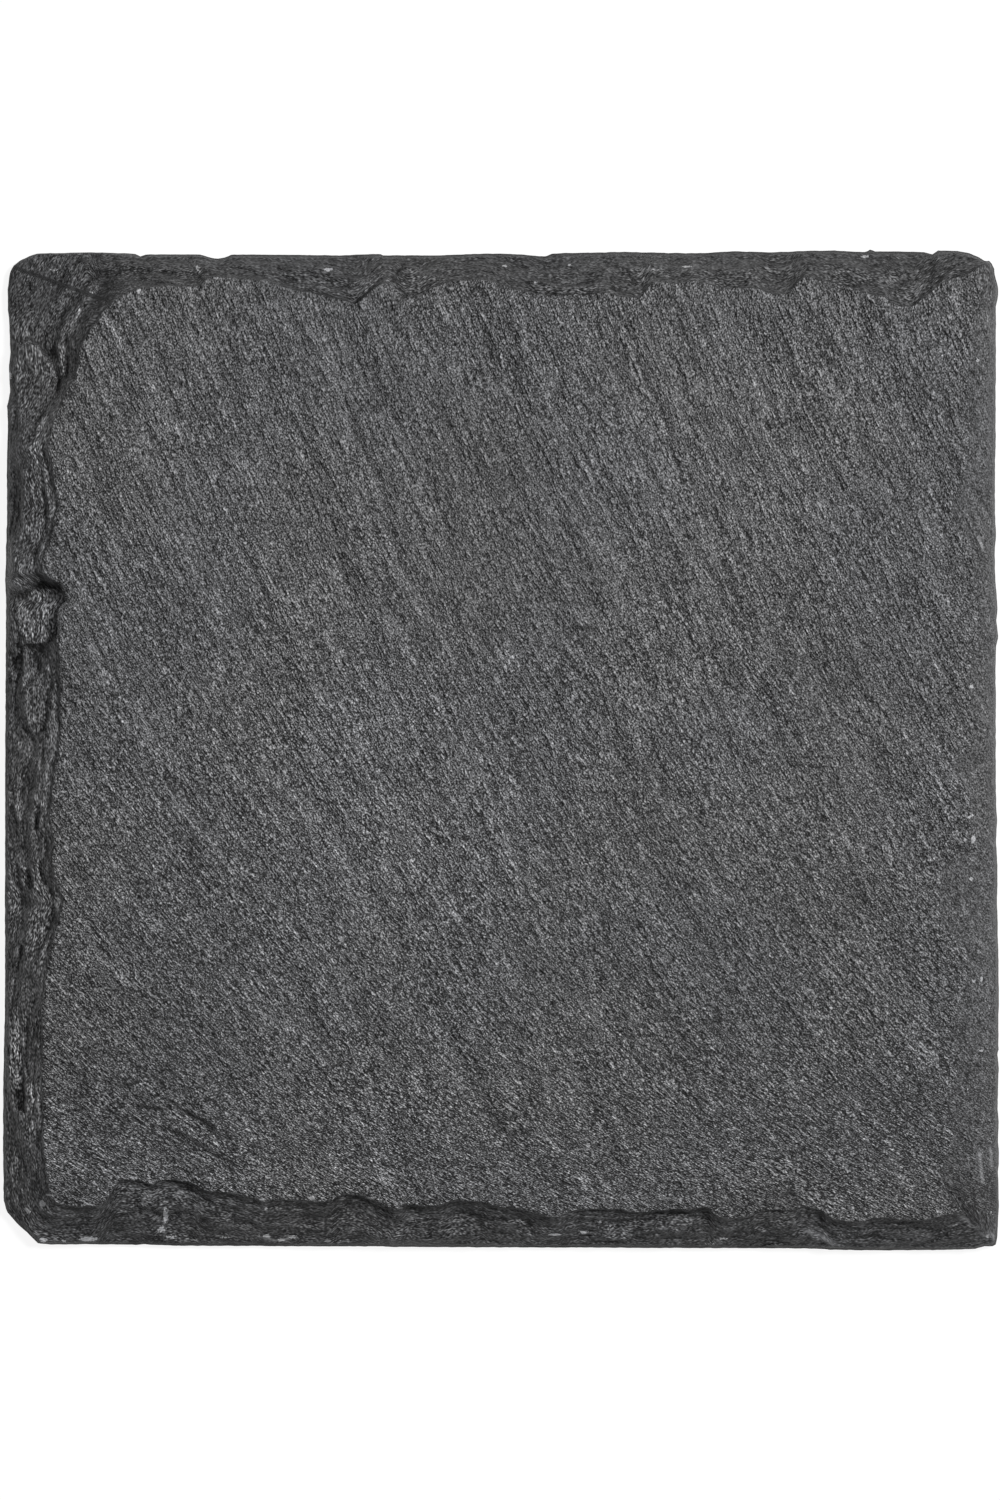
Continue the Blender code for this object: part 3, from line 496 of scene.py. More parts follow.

# Narrow walls and narrow ledges on the broken edge, with painted shade on the walls and painted light on the ledges,
# partly wear: centre line, half width, how pale or dark.
LEDGES = [
    ([(-40.39, 45.87), (-40.89, 44.97), (-41.48, 44.07), (-42.08, 43.18), (-42.68, 42.18),
     (-43.08, 41.38)], 0.28, 0.45),
    ([(-43.58, 45.77), (-43.67, 44.97), (-43.97, 43.97)], 0.2, 0.35),
    ([(-44.67, 49.05), (-44.27, 48.65), (-43.77, 48.26)], 0.08, 0.6),
    ([(-44.47, 48.36), (-44.17, 48.26)], 0.13, -0.68),
    ([(-40.19, 47.86), (-40.24, 47.16), (-40.09, 46.46)], 0.1, -0.59),
    ([(-38.69, 44.47), (-37.9, 45.37), (-37.1, 45.77), (-36.2, 45.97)], 0.16, 0.35),
    ([(-29.33, 47.76), (-29.63, 46.76)], 0.1, -0.3),
    ([(-29.13, 47.16), (-27.94, 47.26), (-25.95, 46.96), (-23.75, 46.86)], 0.2, -0.21),
    ([(-20.47, 45.77), (-17.98, 45.27), (-15.99, 44.87), (-14.49, 44.47)], 0.26, -0.38),
    ([(-14.29, 44.47), (-13.6, 45.17), (-12.8, 45.87), (-12, 46.66)], 0.16, -0.51),
    ([(-12, 46.66), (-11.4, 47.16), (-10.61, 47.76), (-9.81, 48.16)], 0.08, -0.3),
    ([(-11.6, 46.86), (-10.81, 47.56), (-10.01, 48.06), (-9.21, 48.36), (-8.62, 48.16)], 0.1, 0.3),
    ([(-8.62, 48.26), (-7.62, 47.76), (-6.72, 47.36), (-5.73, 46.96)], 0.09, 0.3),
    ([(-10.01, 45.97), (-9.71, 45.47), (-8.91, 45.12), (-8.02, 45.27), (-7.22, 45.77),
     (-6.82, 46.36)], 0.14, -0.51),
    ([(-10.21, 46.76), (-9.61, 46.16), (-8.81, 45.97)], 0.08, -0.3),
    ([(-8.52, 47.16), (-8.22, 46.36), (-8.42, 45.77)], 0.08, -0.26),
    ([(4.43, 46.96), (5.53, 46.66), (6.52, 46.26), (7.72, 46.36), (8.91, 46.56), (9.91, 46.86)], 0.09, -0.34),
    ([(4.23, 45.27), (5.93, 45.27), (7.92, 45.27), (9.71, 45.37)], 0.1, -0.42),
    ([(11.11, 46.66), (10.91, 46.16), (11.21, 45.67), (11.8, 45.67), (12.1, 46.16), (11.8, 46.66),
     (11.21, 46.76)], 0.09, -0.34),
    ([(13.2, 46.36), (13.89, 47.06), (14.69, 47.36)], 0.09, -0.34),
    ([(18.68, 47.06), (19.87, 47.26), (21.07, 47.46), (21.46, 47.06), (20.27, 46.86)], 0.1, -0.2),
    ([(22.96, 47.76), (23.46, 48.46), (23.95, 49.15)], 0.12, -0.5),
    ([(9.91, 47.76), (11.9, 48.16), (13.89, 47.96), (15.89, 47.56)], 0.12, 0.15),
    ([(15.39, 48.55), (16.68, 47.96), (17.88, 47.26)], 0.08, -0.26),
    ([(25.05, 47.96), (26.05, 48.36), (26.84, 48.16)], 0.12, -0.38),
    ([(29.33, 46.36), (29.83, 46.86), (30.23, 47.36)], 0.12, -0.3),
    ([(32.42, 46.66), (33.22, 46.16), (34.41, 46.06), (35.81, 46.16), (36.8, 46.66)], 0.11, -0.42),
    ([(32.62, 47.16), (33.42, 47.86), (34.81, 48.26), (36.1, 47.96)], 0.07, -0.26),
    ([(37, 46.06), (38.2, 45.67), (39.49, 46.06), (40.29, 46.86)], 0.11, -0.42),
    ([(36.7, 47.86), (37.1, 48.16), (37.6, 48.36)], 0.16, -0.85),
    ([(39.79, 44.47), (40.59, 44.57), (41.38, 44.87), (42.28, 45.67), (43.48, 46.66), (44.57, 47.56),
     (45.37, 48.16)], 0.13, -0.38),
    ([(45.07, 47.06), (45.97, 47.46), (46.76, 47.76), (47.46, 48.16)], 0.1, -0.5),
    ([(42.28, 47.16), (43.38, 47.96), (44.37, 48.55)], 0.1, -0.34),
    ([(-44.57, -45.47), (-43.38, -45.67), (-41.88, -45.77), (-40.39, -45.67), (-39.09, -45.87),
     (-38.5, -46.36)], 0.16, -0.6),
    ([(-38.69, -46.06), (-38.1, -46.86), (-37.6, -47.76), (-36.9, -48.55), (-35.91, -48.95)], 0.16, -0.29),
    ([(-37.4, -42.98), (-36.4, -43.28), (-35.11, -43.58)], 0.15, -0.5),
    ([(-34.31, -43.28), (-32.92, -43.08), (-31.32, -43.28), (-30.13, -43.87), (-28.93, -44.27), (-26.94, -44.47),
     (-24.95, -44.87)], 0.3, -0.5),
    ([(-31.12, -44.97), (-30.33, -44.57), (-29.33, -44.47)], 0.1, -0.5),
    ([(-27.74, -46.66), (-26.94, -47.26), (-26.54, -47.76)], 0.3, 0.3),
    ([(-34.91, -47.86), (-34.11, -47.96), (-33.32, -47.96)], 0.08, 0.5),
    ([(-32.12, -48.75), (-29.93, -48.55), (-27.44, -48.85), (-25.15, -48.75)], 0.12, -0.35),
    ([(-31.92, -48.46), (-29.93, -48.36), (-27.74, -48.55)], 0.08, 0.3),
    ([(-38.89, -45.47), (-38.1, -45.77), (-37.7, -46.16)], 0.16, 0.35),
    ([(-24.95, -44.97), (-23.75, -45.37), (-21.96, -45.17), (-19.97, -45.17), (-17.98, -45.27), (-16.68, -45.07),
     (-15.79, -44.67), (-14.39, -44.57), (-13.2, -45.07), (-12, -45.57), (-11.01, -46.06)], 0.21, -0.36),
    ([(-22.96, -46.96), (-22.16, -46.76), (-21.36, -46.36)], 0.09, -0.5),
    ([(-10.01, -45.87), (-9.41, -45.57), (-8.02, -45.67), (-6.03, -45.57), (-5.33, -45.27), (-4.53, -45.07),
     (-3.04, -45.17), (-1.64, -45.27), (-0.45, -45.87)], 0.21, -0.39),
    ([(-16.88, -48.06), (-16.18, -47.26), (-15.29, -46.86), (-14.39, -46.66)], 0.24, 0.3),
    ([(-14.49, -46.76), (-13.6, -47.26), (-13.2, -47.76)], 0.12, 0.3),
    ([(-8.02, -46.26), (-7.32, -46.86), (-6.42, -47.86)], 0.09, -0.4),
    ([(-5.03, -45.37), (-3.83, -46.06), (-2.84, -46.66), (-1.64, -47.26), (-0.85, -47.86)], 0.13, -0.23),
    ([(-6.42, -48.06), (-5.63, -47.46), (-4.83, -46.86)], 0.09, -0.35),
    ([(-0.05, -45.87), (1.15, -46.16), (2.34, -46.76), (3.34, -47.46), (4.43, -48.06),
     (5.23, -48.46)], 0.14, -0.39),
    ([(4.83, -48.16), (5.93, -48.16), (7.42, -48.16)], 0.08, -0.4),
    ([(7.22, -46.06), (8.91, -45.87), (10.91, -45.87), (12.3, -45.92), (12.7, -46.16)], 0.13, -0.55),
    ([(9.71, -48.46), (10.51, -47.86), (11.7, -47.46), (12.7, -47.06), (13.7, -46.46), (14.89, -46.16),
     (16.28, -45.97), (17.88, -45.87), (18.87, -46.06), (19.57, -46.66)], 0.12, -0.39),
    ([(19.07, -46.26), (20.07, -46.46), (21.36, -46.96), (22.86, -47.36), (24.35, -47.86)], 0.14, -0.5),
    ([(18.87, -45.97), (19.57, -45.77), (20.67, -45.87), (21.16, -46.46)], 0.12, -0.4),
    ([(9.91, -47.86), (10.61, -47.36), (11.3, -47.06)], 0.2, 0.3),
    ([(10.91, -48.85), (11.7, -48.36), (12.7, -47.76), (13.1, -48.06)], 0.24, 0.35),
    ([(19.67, -49.25), (20.47, -49.05), (21.07, -49.35)], 0.24, 0.35),
    ([(23.46, -46.76), (24.05, -47.16)], 0.18, 0.3),
    ([(25.55, -46.26), (27.34, -46.06), (29.03, -46.06), (30.03, -45.77)], 0.12, -0.23),
    ([(29.33, -46.46), (30.43, -46.06), (31.62, -46.16), (32.62, -46.66), (33.62, -47.06), (34.81, -47.26),
     (36.01, -47.66), (37.4, -48.16), (38.2, -48.65)], 0.15, -0.39),
    ([(30.33, -47.76), (31.12, -48.26), (32.02, -48.85), (33.22, -49.35)], 0.12, 0.22),
    ([(27.84, -49.25), (28.64, -48.26), (29.43, -47.66)], 0.09, -0.4),
    ([(26.05, -48.46), (27.04, -48.26), (27.64, -48.65)], 0.09, -0.4),
    ([(36.4, -47.16), (37.8, -46.96), (39.49, -47.06), (41.28, -47.06), (42.58, -46.96), (43.77, -46.66),
     (45.27, -46.46), (46.36, -46.46)], 0.18, -0.36),
    ([(46.36, -46.56), (47.16, -47.06), (47.66, -47.86), (48.26, -48.36)], 0.1, 0.4),
    ([(46.26, -46.76), (46.96, -47.26), (47.46, -47.96)], 0.12, -0.35),
    ([(43.58, -48.26), (44.77, -47.46), (45.97, -47.06)], 0.09, 0.3),
    ([(-46.16, 40.69), (-45.57, 39.89), (-44.87, 39.19), (-44.27, 38.2), (-43.97, 37),
     (-43.87, 35.61)], 0.18, -0.6),
    ([(-43.18, 40.29), (-42.98, 38.79), (-43.18, 37.1)], 0.14, -0.28),
    ([(-43.97, 25.15), (-44.07, 23.66), (-44.47, 22.46), (-44.77, 20.87), (-45.27, 19.27),
     (-45.77, 17.88)], 0.16, -0.3),
    ([(-47.46, 24.85), (-47.66, 22.86), (-47.76, 20.37)], 0.13, 0.25),
    ([(-43.97, 13.7), (-44.17, 12.7), (-44.12, 11.5), (-44.37, 10.71)], 0.14, -0.2),
    ([(-47.36, 10.31), (-46.46, 10.41), (-45.67, 10.56), (-44.87, 10.76)], 0.15, -1.04),
    ([(-46.86, 14.89), (-46.06, 14.29), (-45.37, 13.7), (-44.87, 13.3)], 0.08, -0.33),
    ([(-48.85, 15.09), (-48.55, 13.89), (-48.06, 12.5), (-47.86, 11.7)], 0.12, 0.4),
    ([(-48.65, 13.7), (-48.26, 12.7), (-47.86, 11.3)], 0.14, -0.33),
    ([(-47.16, 9.71), (-46.96, 8.52), (-47.16, 7.12), (-47.06, 5.73), (-47.26, 4.33)], 0.17, 0.35),
    ([(-47.66, 9.91), (-47.56, 7.92), (-47.76, 5.93), (-47.96, 4.33)], 0.14, -0.2),
    ([(-44.87, 9.21), (-44.77, 9.01)], 0.1, 0.9),
    ([(-45.47, 8.32), (-44.97, 7.92)], 0.16, 0.4),
    ([(-44.47, 7.92), (-43.97, 7.42)], 0.2, 0.35),
    ([(-43.97, 10.31), (-43.77, 8.42), (-43.67, 5.93), (-43.77, 3.44), (-43.77, 1.15)], 0.14, -0.3),
    ([(-45.37, 1.44), (-45.57, -1.05), (-45.87, -3.24), (-45.97, -5.03)], 0.13, -0.2),
    ([(-43.87, 0.75), (-44.27, -1.54), (-44.57, -3.54), (-44.77, -5.83)], 0.12, -0.25),
    ([(-45.17, -7.22), (-45.37, -8.52), (-45.67, -9.81)], 0.1, 0.3),
    ([(-48.26, 0.75), (-47.86, -0.25), (-47.46, -1.54)], 0.22, 0.25),
    ([(-48.26, -2.04), (-48.06, -4.03), (-48.26, -6.03)], 0.1, 0.25),
    ([(-47.36, -4.03), (-47.26, -6.52), (-47.36, -8.81)], 0.13, 0.25),
    ([(-46.06, -11.01), (-45.77, -12.2), (-45.37, -13.6)], 0.14, 0.4),
    ([(-46.36, -11.21), (-46.16, -12.6), (-45.77, -13.99)], 0.12, -0.25),
    ([(-43.67, -16.18), (-44.17, -17.98), (-44.67, -19.77), (-45.07, -21.56), (-45.37, -22.76)], 0.13, -0.25),
    ([(-46.86, -15.49), (-46.66, -17.98), (-46.76, -20.97), (-47.06, -22.96)], 0.16, -0.15),
    ([(-45.27, -22.96), (-45.47, -24.95), (-45.67, -25.95), (-45.57, -28.93), (-45.57, -31.92),
     (-45.57, -34.41)], 0.13, -0.12),
    ([(-45.57, -25.05), (-45.57, -25.75)], 0.12, 0.7),
    ([(-47.46, -24.95), (-47.16, -26.94), (-46.96, -29.43)], 0.16, -0.15),
    ([(-48.46, -22.46), (-48.16, -23.46), (-48.46, -24.95)], 0.14, 0.3),
    ([(-46.86, -22.96), (-46.56, -23.95), (-46.96, -25.45)], 0.16, 0.25),
    ([(-46.86, -39.89), (-46.56, -41.88), (-46.36, -43.87), (-46.26, -44.87)], 0.13, -0.2),
    ([(-45.77, -35.91), (-45.57, -37.9), (-45.47, -39.89), (-45.17, -41.88), (-45.07, -43.87)], 0.13, -0.1),
    ([(-47.36, -39.89), (-47.06, -41.38), (-46.86, -43.38)], 0.12, 0.25),
    ([(-46.06, -38.89), (-45.87, -40.89), (-45.67, -42.88)], 0.1, 0.2),
    ([(47.56, 17.38), (47.76, 16.58), (47.86, 15.79)], 0.08, 0.3),
    ([(47.06, -18.97), (47.26, -20.17)], 0.1, -0.5),
    ([(-48.65, 1.94), (-47.66, -0.05), (-46.86, -2.54), (-46.26, -5.03)], 0.3, 0.3),
    ([(-48.26, -4.03), (-47.86, -6.52), (-47.36, -9.21)], 0.2, 0.3),
    ([(-45.47, -5.03), (-45.77, -7.22), (-46.26, -10.01)], 0.22, 0.32),
    ([(-48.55, -18.48), (-48.16, -20.47), (-47.66, -22.46)], 0.25, 0.2),
    ([(-45.17, -18.48), (-45.67, -20.47), (-46.06, -22.46)], 0.3, 0.25),
    ([(-44.37, 36.01), (-44.67, 34.61), (-45.27, 33.22), (-45.77, 31.62), (-46.26, 30.13)], 0.26, 0.10),
    ([(-45.17, 27.84), (-45.17, 25.35), (-45.27, 22.86)], 0.13, 0.12),
    ([(-45.07, 17.38), (-44.07, 17.48), (-43.48, 17.08)], 0.2, 0.35),
    ([(-43.77, 14.89), (-43.77, 12.9), (-43.87, 10.91)], 0.22, 0.35),
    ([(-47.36, 10.41), (-46.06, 10.11), (-44.97, 10.31)], 0.2, -1),
    ([(-44.47, 35.61), (-45.07, 34.01), (-45.67, 32.32), (-46.26, 30.13)], 0.32, 0.12),
    ([(-46.6, 2.6), (-46.2, 1.9), (-45.75, 1.1), (-45.5, 0.0), (-45.6, -1.6)], 0.22, -0.55),
]

# Larger scars: painted shade on smooth steep ones, painted light on level ground that is partly rubbed, and painted
# light where walls fall into shadow. Outline, how pale or dark.
SCARS = [
    ([(-40.09, 47.96), (-38.59, 47.16), (-37.4, 46.36), (-38.1, 45.47), (-38.89, 44.47), (-39.49, 43.58),
      (-40.19, 42.58), (-41.09, 41.38), (-41.88, 40.29), (-42.48, 39.79), (-42.28, 40.99), (-41.48, 42.18),
      (-40.59, 43.58), (-40.19, 44.97), (-39.89, 46.36)], -0.26),
    ([(-43.67, 47.96), (-42.68, 47.56), (-42.88, 45.97), (-42.18, 44.77), (-42.68, 42.98), (-43.28, 41.78),
      (-43.87, 40.99), (-44.07, 41.78), (-43.67, 43.58), (-43.38, 44.97), (-43.87, 46.36)], -0.18),
    ([(-14.99, 46.76), (-12.8, 47.06), (-12.2, 46.46), (-13.4, 45.57), (-14.39, 44.87), (-15.19, 45.57)], 0.36),
    ([(-10.01, 47.16), (-8.81, 47.76), (-7.62, 47.26), (-7.02, 46.46), (-7.82, 45.57), (-9.01, 45.37),
      (-9.81, 46.16)], 0.12),
    ([(4.43, 46.66), (5.93, 46.46), (7.42, 46.16), (9.11, 46.36), (10.11, 46.56), (11.11, 45.57),
      (9.91, 45.37), (7.42, 45.37), (4.73, 45.37)], 0.15),
    ([(32.62, 46.96), (33.42, 47.76), (34.81, 48.16), (36.01, 47.86), (36.8, 47.06), (36.01, 46.36),
      (34.31, 46.26), (33.22, 46.36)], 0.2),
    ([(37.2, 46.36), (38.2, 47.36), (39.39, 47.76), (40.19, 47.26), (39.49, 46.36), (38.2, 45.87)], 0.18),
    ([(39.59, 45.17), (40.79, 46.26), (41.88, 46.66), (42.58, 46.26), (41.58, 45.37), (40.39, 44.87)], 0.15),
    ([(-37.9, -48.46), (-35.91, -48.26), (-33.91, -48.65), (-32.32, -49.15), (-33.91, -49.45), (-36.9, -49.45)], -0.35),
    ([(-30.33, -46.66), (-29.33, -46.06), (-28.34, -46.86), (-27.74, -48.16), (-29.33, -48.65), (-30.53, -47.86)], -0.35),
    ([(-38.4, -44.87), (-36.4, -43.87), (-34.91, -44.37), (-35.11, -45.27), (-37.4, -45.47)], 0.15),
    ([(-19.97, -45.27), (-16.48, -45.17), (-15.49, -44.77), (-13.5, -44.87), (-12.8, -45.87), (-14.99, -46.46),
      (-17.48, -47.06), (-19.97, -46.46)], -0.3),
    ([(-12.4, -46.26), (-11.4, -45.87), (-10.41, -46.16), (-9.81, -45.97), (-10.41, -47.06), (-11.01, -47.96),
      (-11.8, -47.46)], -0.35),
    ([(-11.21, -47.66), (-10.21, -46.96), (-9.01, -46.46), (-8.22, -47.06), (-9.21, -48.06), (-10.51, -48.85)], 0.15),
    ([(-24.35, -48.85), (-23.16, -48.55), (-21.56, -48.85), (-20.77, -49.25), (-22.96, -49.45), (-24.55, -49.45)], -0.45),
    ([(-5.23, -47.66), (-4.03, -47.06), (-3.04, -47.66), (-4.03, -48.46)], 0.2),
    ([(-0.25, -45.87), (2.94, -46.16), (5.53, -46.76), (6.92, -46.46), (5.93, -47.46), (4.43, -47.66),
      (2.44, -46.66), (0.45, -46.16)], -0.2),
    ([(14.69, -47.66), (15.89, -46.66), (17.38, -46.26), (18.87, -46.86), (18.68, -47.86), (16.88, -48.26),
      (15.39, -48.26)], 0.18),
    ([(31.03, -47.46), (32.32, -47.06), (34.31, -47.66), (34.81, -48.65), (33.62, -49.45), (32.32, -48.65)], 0.1),
    ([(-43.77, 37.6), (-43.28, 37), (-43.08, 35.61), (-43.67, 34.11), (-44.27, 32.82), (-44.67, 31.42),
      (-45.17, 30.23), (-45.87, 29.03), (-46.26, 29.33), (-45.47, 30.83), (-44.87, 32.32), (-44.37, 33.81),
      (-43.97, 35.31), (-43.87, 36.8)], 0.1),
    ([(-43.87, 40.59), (-43.28, 39.89), (-43.18, 38.59), (-43.38, 37.4), (-43.77, 37.5), (-44.07, 38.99)], 0.3),
    ([(-47.66, 39.79), (-45.87, 40.19), (-44.67, 38.59), (-44.17, 36.3), (-44.47, 33.81), (-45.67, 32.32),
      (-46.86, 32.82), (-47.46, 35.81)], -0.04),
    ([(-48.95, 36.3), (-47.46, 36.3), (-47.06, 32.82), (-47.66, 29.83), (-48.95, 29.83)], -0.05),
    ([(-49.05, 25.85), (-47.66, 25.85), (-47.46, 22.86), (-47.86, 20.37), (-49.05, 18.87)], -0.03),
    ([(-47.06, 24.85), (-45.07, 25.05), (-45.27, 21.86), (-46.06, 19.37), (-46.86, 20.37), (-47.26, 22.86)], -0.05),
    ([(-45.87, 17.48), (-44.87, 17.08), (-44.07, 16.58), (-43.38, 16.09), (-43.28, 15.59), (-44.07, 15.89),
      (-45.07, 16.18), (-46.06, 15.89), (-46.76, 16.18), (-46.56, 16.88)], -0.75),
    ([(-48.26, 15.19), (-47.76, 15.69), (-47.06, 15.59), (-47.36, 15.09), (-48.06, 14.89)], -1.1),
    ([(-48.75, 15.89), (-47.86, 18.28), (-46.76, 18.77), (-46.16, 18.08), (-46.76, 17.08), (-47.06, 16.28),
      (-48.06, 15.79)], 0.3),
    ([(-47.86, 14.89), (-46.86, 15.39), (-45.37, 15.79), (-43.87, 15.49), (-43.48, 14.89), (-43.87, 13.7),
      (-44.27, 12.9), (-44.17, 11.4), (-44.47, 10.81), (-45.67, 10.71), (-47.36, 10.51), (-47.66, 11.7),
      (-48.26, 13.4), (-48.46, 14.29)], 0.22),
    ([(-46.66, 10.11), (-44.47, 10.31), (-44.27, 8.71), (-45.47, 8.12), (-46.46, 8.12)], -0.05),
    ([(-46.26, 6.92), (-44.67, 7.12), (-44.17, 4.93), (-44.37, 2.44), (-45.47, 1.74), (-46.36, 2.94),
      (-46.56, 4.93)], -0.1),
    ([(-45.17, 1.34), (-44.17, 1.15), (-44.37, -1.05), (-44.77, -3.54), (-45.17, -5.03), (-45.37, -3.04),
      (-45.37, -0.55)], 0.18),
    ([(-45.87, -2.54), (-45.37, -3.04), (-45.47, -5.53), (-45.87, -7.52), (-46.26, -9.51), (-46.56, -9.01),
      (-46.26, -6.03), (-46.06, -4.03)], 0.15),
    ([(-45.17, -8.81), (-44.47, -8.22), (-44.47, -10.01), (-44.57, -12), (-44.17, -13.4), (-43.87, -14.49),
      (-44.47, -14.69), (-45.07, -13.5), (-45.47, -11.21)], -0.4),
    ([(-47.96, -11.21), (-47.06, -11.6), (-46.76, -13), (-47.26, -13.99), (-47.96, -13.2)], 0.3),
    ([(-46.16, -16.18), (-44.87, -15.49), (-44.47, -17.48), (-44.87, -19.97), (-45.47, -21.76), (-46.26, -20.97)], 0.15),
    ([(-48.95, -26.14), (-48.06, -26.74), (-47.46, -28.93), (-47.56, -32.12), (-47.86, -33.91),
      (-48.55, -33.32), (-48.95, -29.93)], 0.55),
    ([(-48.95, -34.11), (-47.86, -34.51), (-47.56, -36.9), (-48.06, -38.89), (-48.95, -38.89)], -0.05),
    ([(-47.46, -30.93), (-45.67, -31.12), (-45.47, -33.91), (-45.87, -35.71), (-47.06, -35.31), (-47.46, -33.42)], 0.3),
    ([(45.27, 0.15), (46.56, 0.45), (47.26, -1.05), (46.76, -3.04), (45.57, -2.24)], -0.12),
    ([(-49.05, 48.55), (-47.66, 49.25), (-44.67, 48.95), (-44.67, 44.77), (-45.87, 41.78), (-48.85, 41.28)], -0.14),
    ([(-49.25, 49.15), (-48.26, 48.55), (-48.36, 40.29), (-49.05, 40.29)], -0.1),
    ([(-47.46, 37), (-45.67, 37), (-45.67, 31.62), (-47.06, 31.82)], -0.12),
    ([(-47.46, 29.33), (-45.67, 29.33), (-45.07, 22.86), (-46.06, 17.88), (-47.46, 18.87)], -0.16),
    ([(-44.07, 36.4), (-43.48, 35.31), (-44.57, 31.82), (-45.77, 28.83), (-46.76, 29.03), (-45.97, 32.02),
      (-44.87, 34.61)], 0.42),
    ([(-49.45, 14.89), (-48.06, 15.09), (-47.86, 10.91), (-47.76, 4.93), (-47.96, -1.54), (-49.45, -1.54)], -0.2),
    ([(-47.06, 2.14), (-45.87, 1.44), (-45.67, -4.03), (-46.56, -4.53), (-47.26, -1.05)], 0.22),
    ([(-46.86, -25.95), (-45.57, -25.95), (-45.57, -36.7), (-46.66, -36.1)], 0.14),
    ([(-46.86, -36.9), (-44.97, -36.9), (-44.77, -46.36), (-46.46, -46.36)], 0.28),
    ([(-48.65, -38.4), (-47.06, -37.9), (-46.86, -45.37), (-48.26, -45.37)], 0.14),
    ([(-44.07, -42.68), (-38.89, -42.28), (-39.49, -45.17), (-43.87, -44.87)], -0.2),
    ([(-38.69, -43.67), (-36.7, -43.28), (-36.9, -45.07), (-38.69, -45.27)], 0.2),
    ([(-31.12, -48.26), (-20.77, -48.65), (-20.97, -49.45), (-31.32, -49.35)], -0.25),
    ([(-14.79, -44.57), (-12.8, -44.87), (-10.81, -45.97), (-10.11, -46.86), (-12.4, -46.56), (-14.39, -45.67)], 0.55),
    ([(19.07, -45.87), (21.07, -46.06), (21.46, -47.46), (19.87, -47.26)], 0.55),
    ([(23.36, -44.07), (29.83, -43.87), (29.83, -45.67), (23.36, -46.26)], -0.14),
    ([(31.03, -45.97), (32.42, -46.26), (32.42, -47.26), (31.22, -47.06)], 0.25),
    ([(44.77, -46.26), (48.26, -46.06), (48.75, -47.46), (45.27, -47.16)], -0.2),
    ([(13.5, 47.96), (15.49, 48.16), (15.09, 45.17), (13.5, 44.97)], 0.35),
    ([(23.36, 48.36), (28.83, 48.36), (28.44, 46.76), (23.66, 46.76)], -0.1),
    ([(-0.05, 48.36), (5.93, 48.55), (5.93, 46.16), (-0.05, 46.76)], -0.09),
    ([(40.39, 44.77), (42.78, 46.76), (45.57, 48.36), (45.97, 47.76), (43.38, 45.57), (40.99, 43.97)], 0.22),
    ([(-46.86, 44.77), (-44.87, 44.77), (-45.67, 40.29), (-46.86, 40.29)], -0.1),
    ([(23.46, -43.48), (29.83, -43.18), (29.73, -45.67), (23.56, -45.87)], -0.2),
    ([(44.77, -45.37), (47.26, -45.37), (47.56, -47.26), (45.07, -47.26)], -0.15),
    ([(-33.52, -36.2), (-32.12, -36.1), (-30.93, -36.6), (-29.73, -37.4), (-28.54, -38.3), (-27.34, -39.59),
      (-26.74, -40.29), (-28.34, -39.59), (-29.53, -38.79), (-30.93, -38), (-32.52, -37.1)], 0.3),
    ([(-40.29, -35.51), (-39.09, -36.1), (-37.7, -37.3), (-36.5, -37.9), (-37.1, -38.69), (-38.89, -38.3),
      (-40.09, -37.1)], -0.22),
    ([(-44.27, -31.32), (-43.28, -31.52), (-42.28, -32.32), (-41.48, -33.71), (-42.08, -34.11),
      (-43.08, -32.92), (-44.27, -32.12)], 0.2),
    ([(-43.87, -32.72), (-42.68, -33.52), (-41.48, -34.71), (-40.29, -35.71), (-40.69, -36.7),
      (-42.48, -35.31), (-44.07, -34.11)], -0.16),
    ([(-27.54, -36.7), (-26.74, -37.7), (-25.55, -39.49), (-24.75, -40.89), (-25.95, -40.69), (-27.14, -39.09),
      (-28.14, -37.9)], -0.14),
    ([(-47.3, 17.2), (-46.9, 18.1), (-46.1, 17.9), (-45.8, 17.3), (-46.6, 16.9)], -0.5),
    ([(-48.3, 15.6), (-46.8, 15.6), (-47.3, 15), (-48.3, 15.1)], -0.5),
]

# Long fine scratches on the face: line, half width, strength.
SCRATCHES = [
    ([(-40.8, 10.5), (-40.3, 8.5), (-39.6, 7.4), (-38.7, 6.2)], 0.10, 0.45),
    ([(-37.8, 25.8), (-37.3, 26.6)], 0.08, 0.6),
    ([(47.5, 21.2), (48.0, 19.8)], 0.09, 0.5),
    ([(47.6, -39.8), (48.0, -43.2)], 0.10, 0.5),
    ([(48.8, -39.4), (48.9, -41.6)], 0.10, 0.4),
    ([(45.7, -46.4), (46.9, -47.1), (47.7, -47.7), (48.1, -48.3), (49.3, -48.5)], 0.16, 0.4),
    ([(30.5, -47.8), (32.0, -48.6), (33.5, -49.4)], 0.16, 0.35),
    ([(-23.9, -48.6), (-22.6, -48.95), (-21.6, -48.9), (-20.8, -48.55)], 0.07, 0.4),
    ([(39.4, -40.1), (38.9, -41.0)], 0.08, 0.4),
]


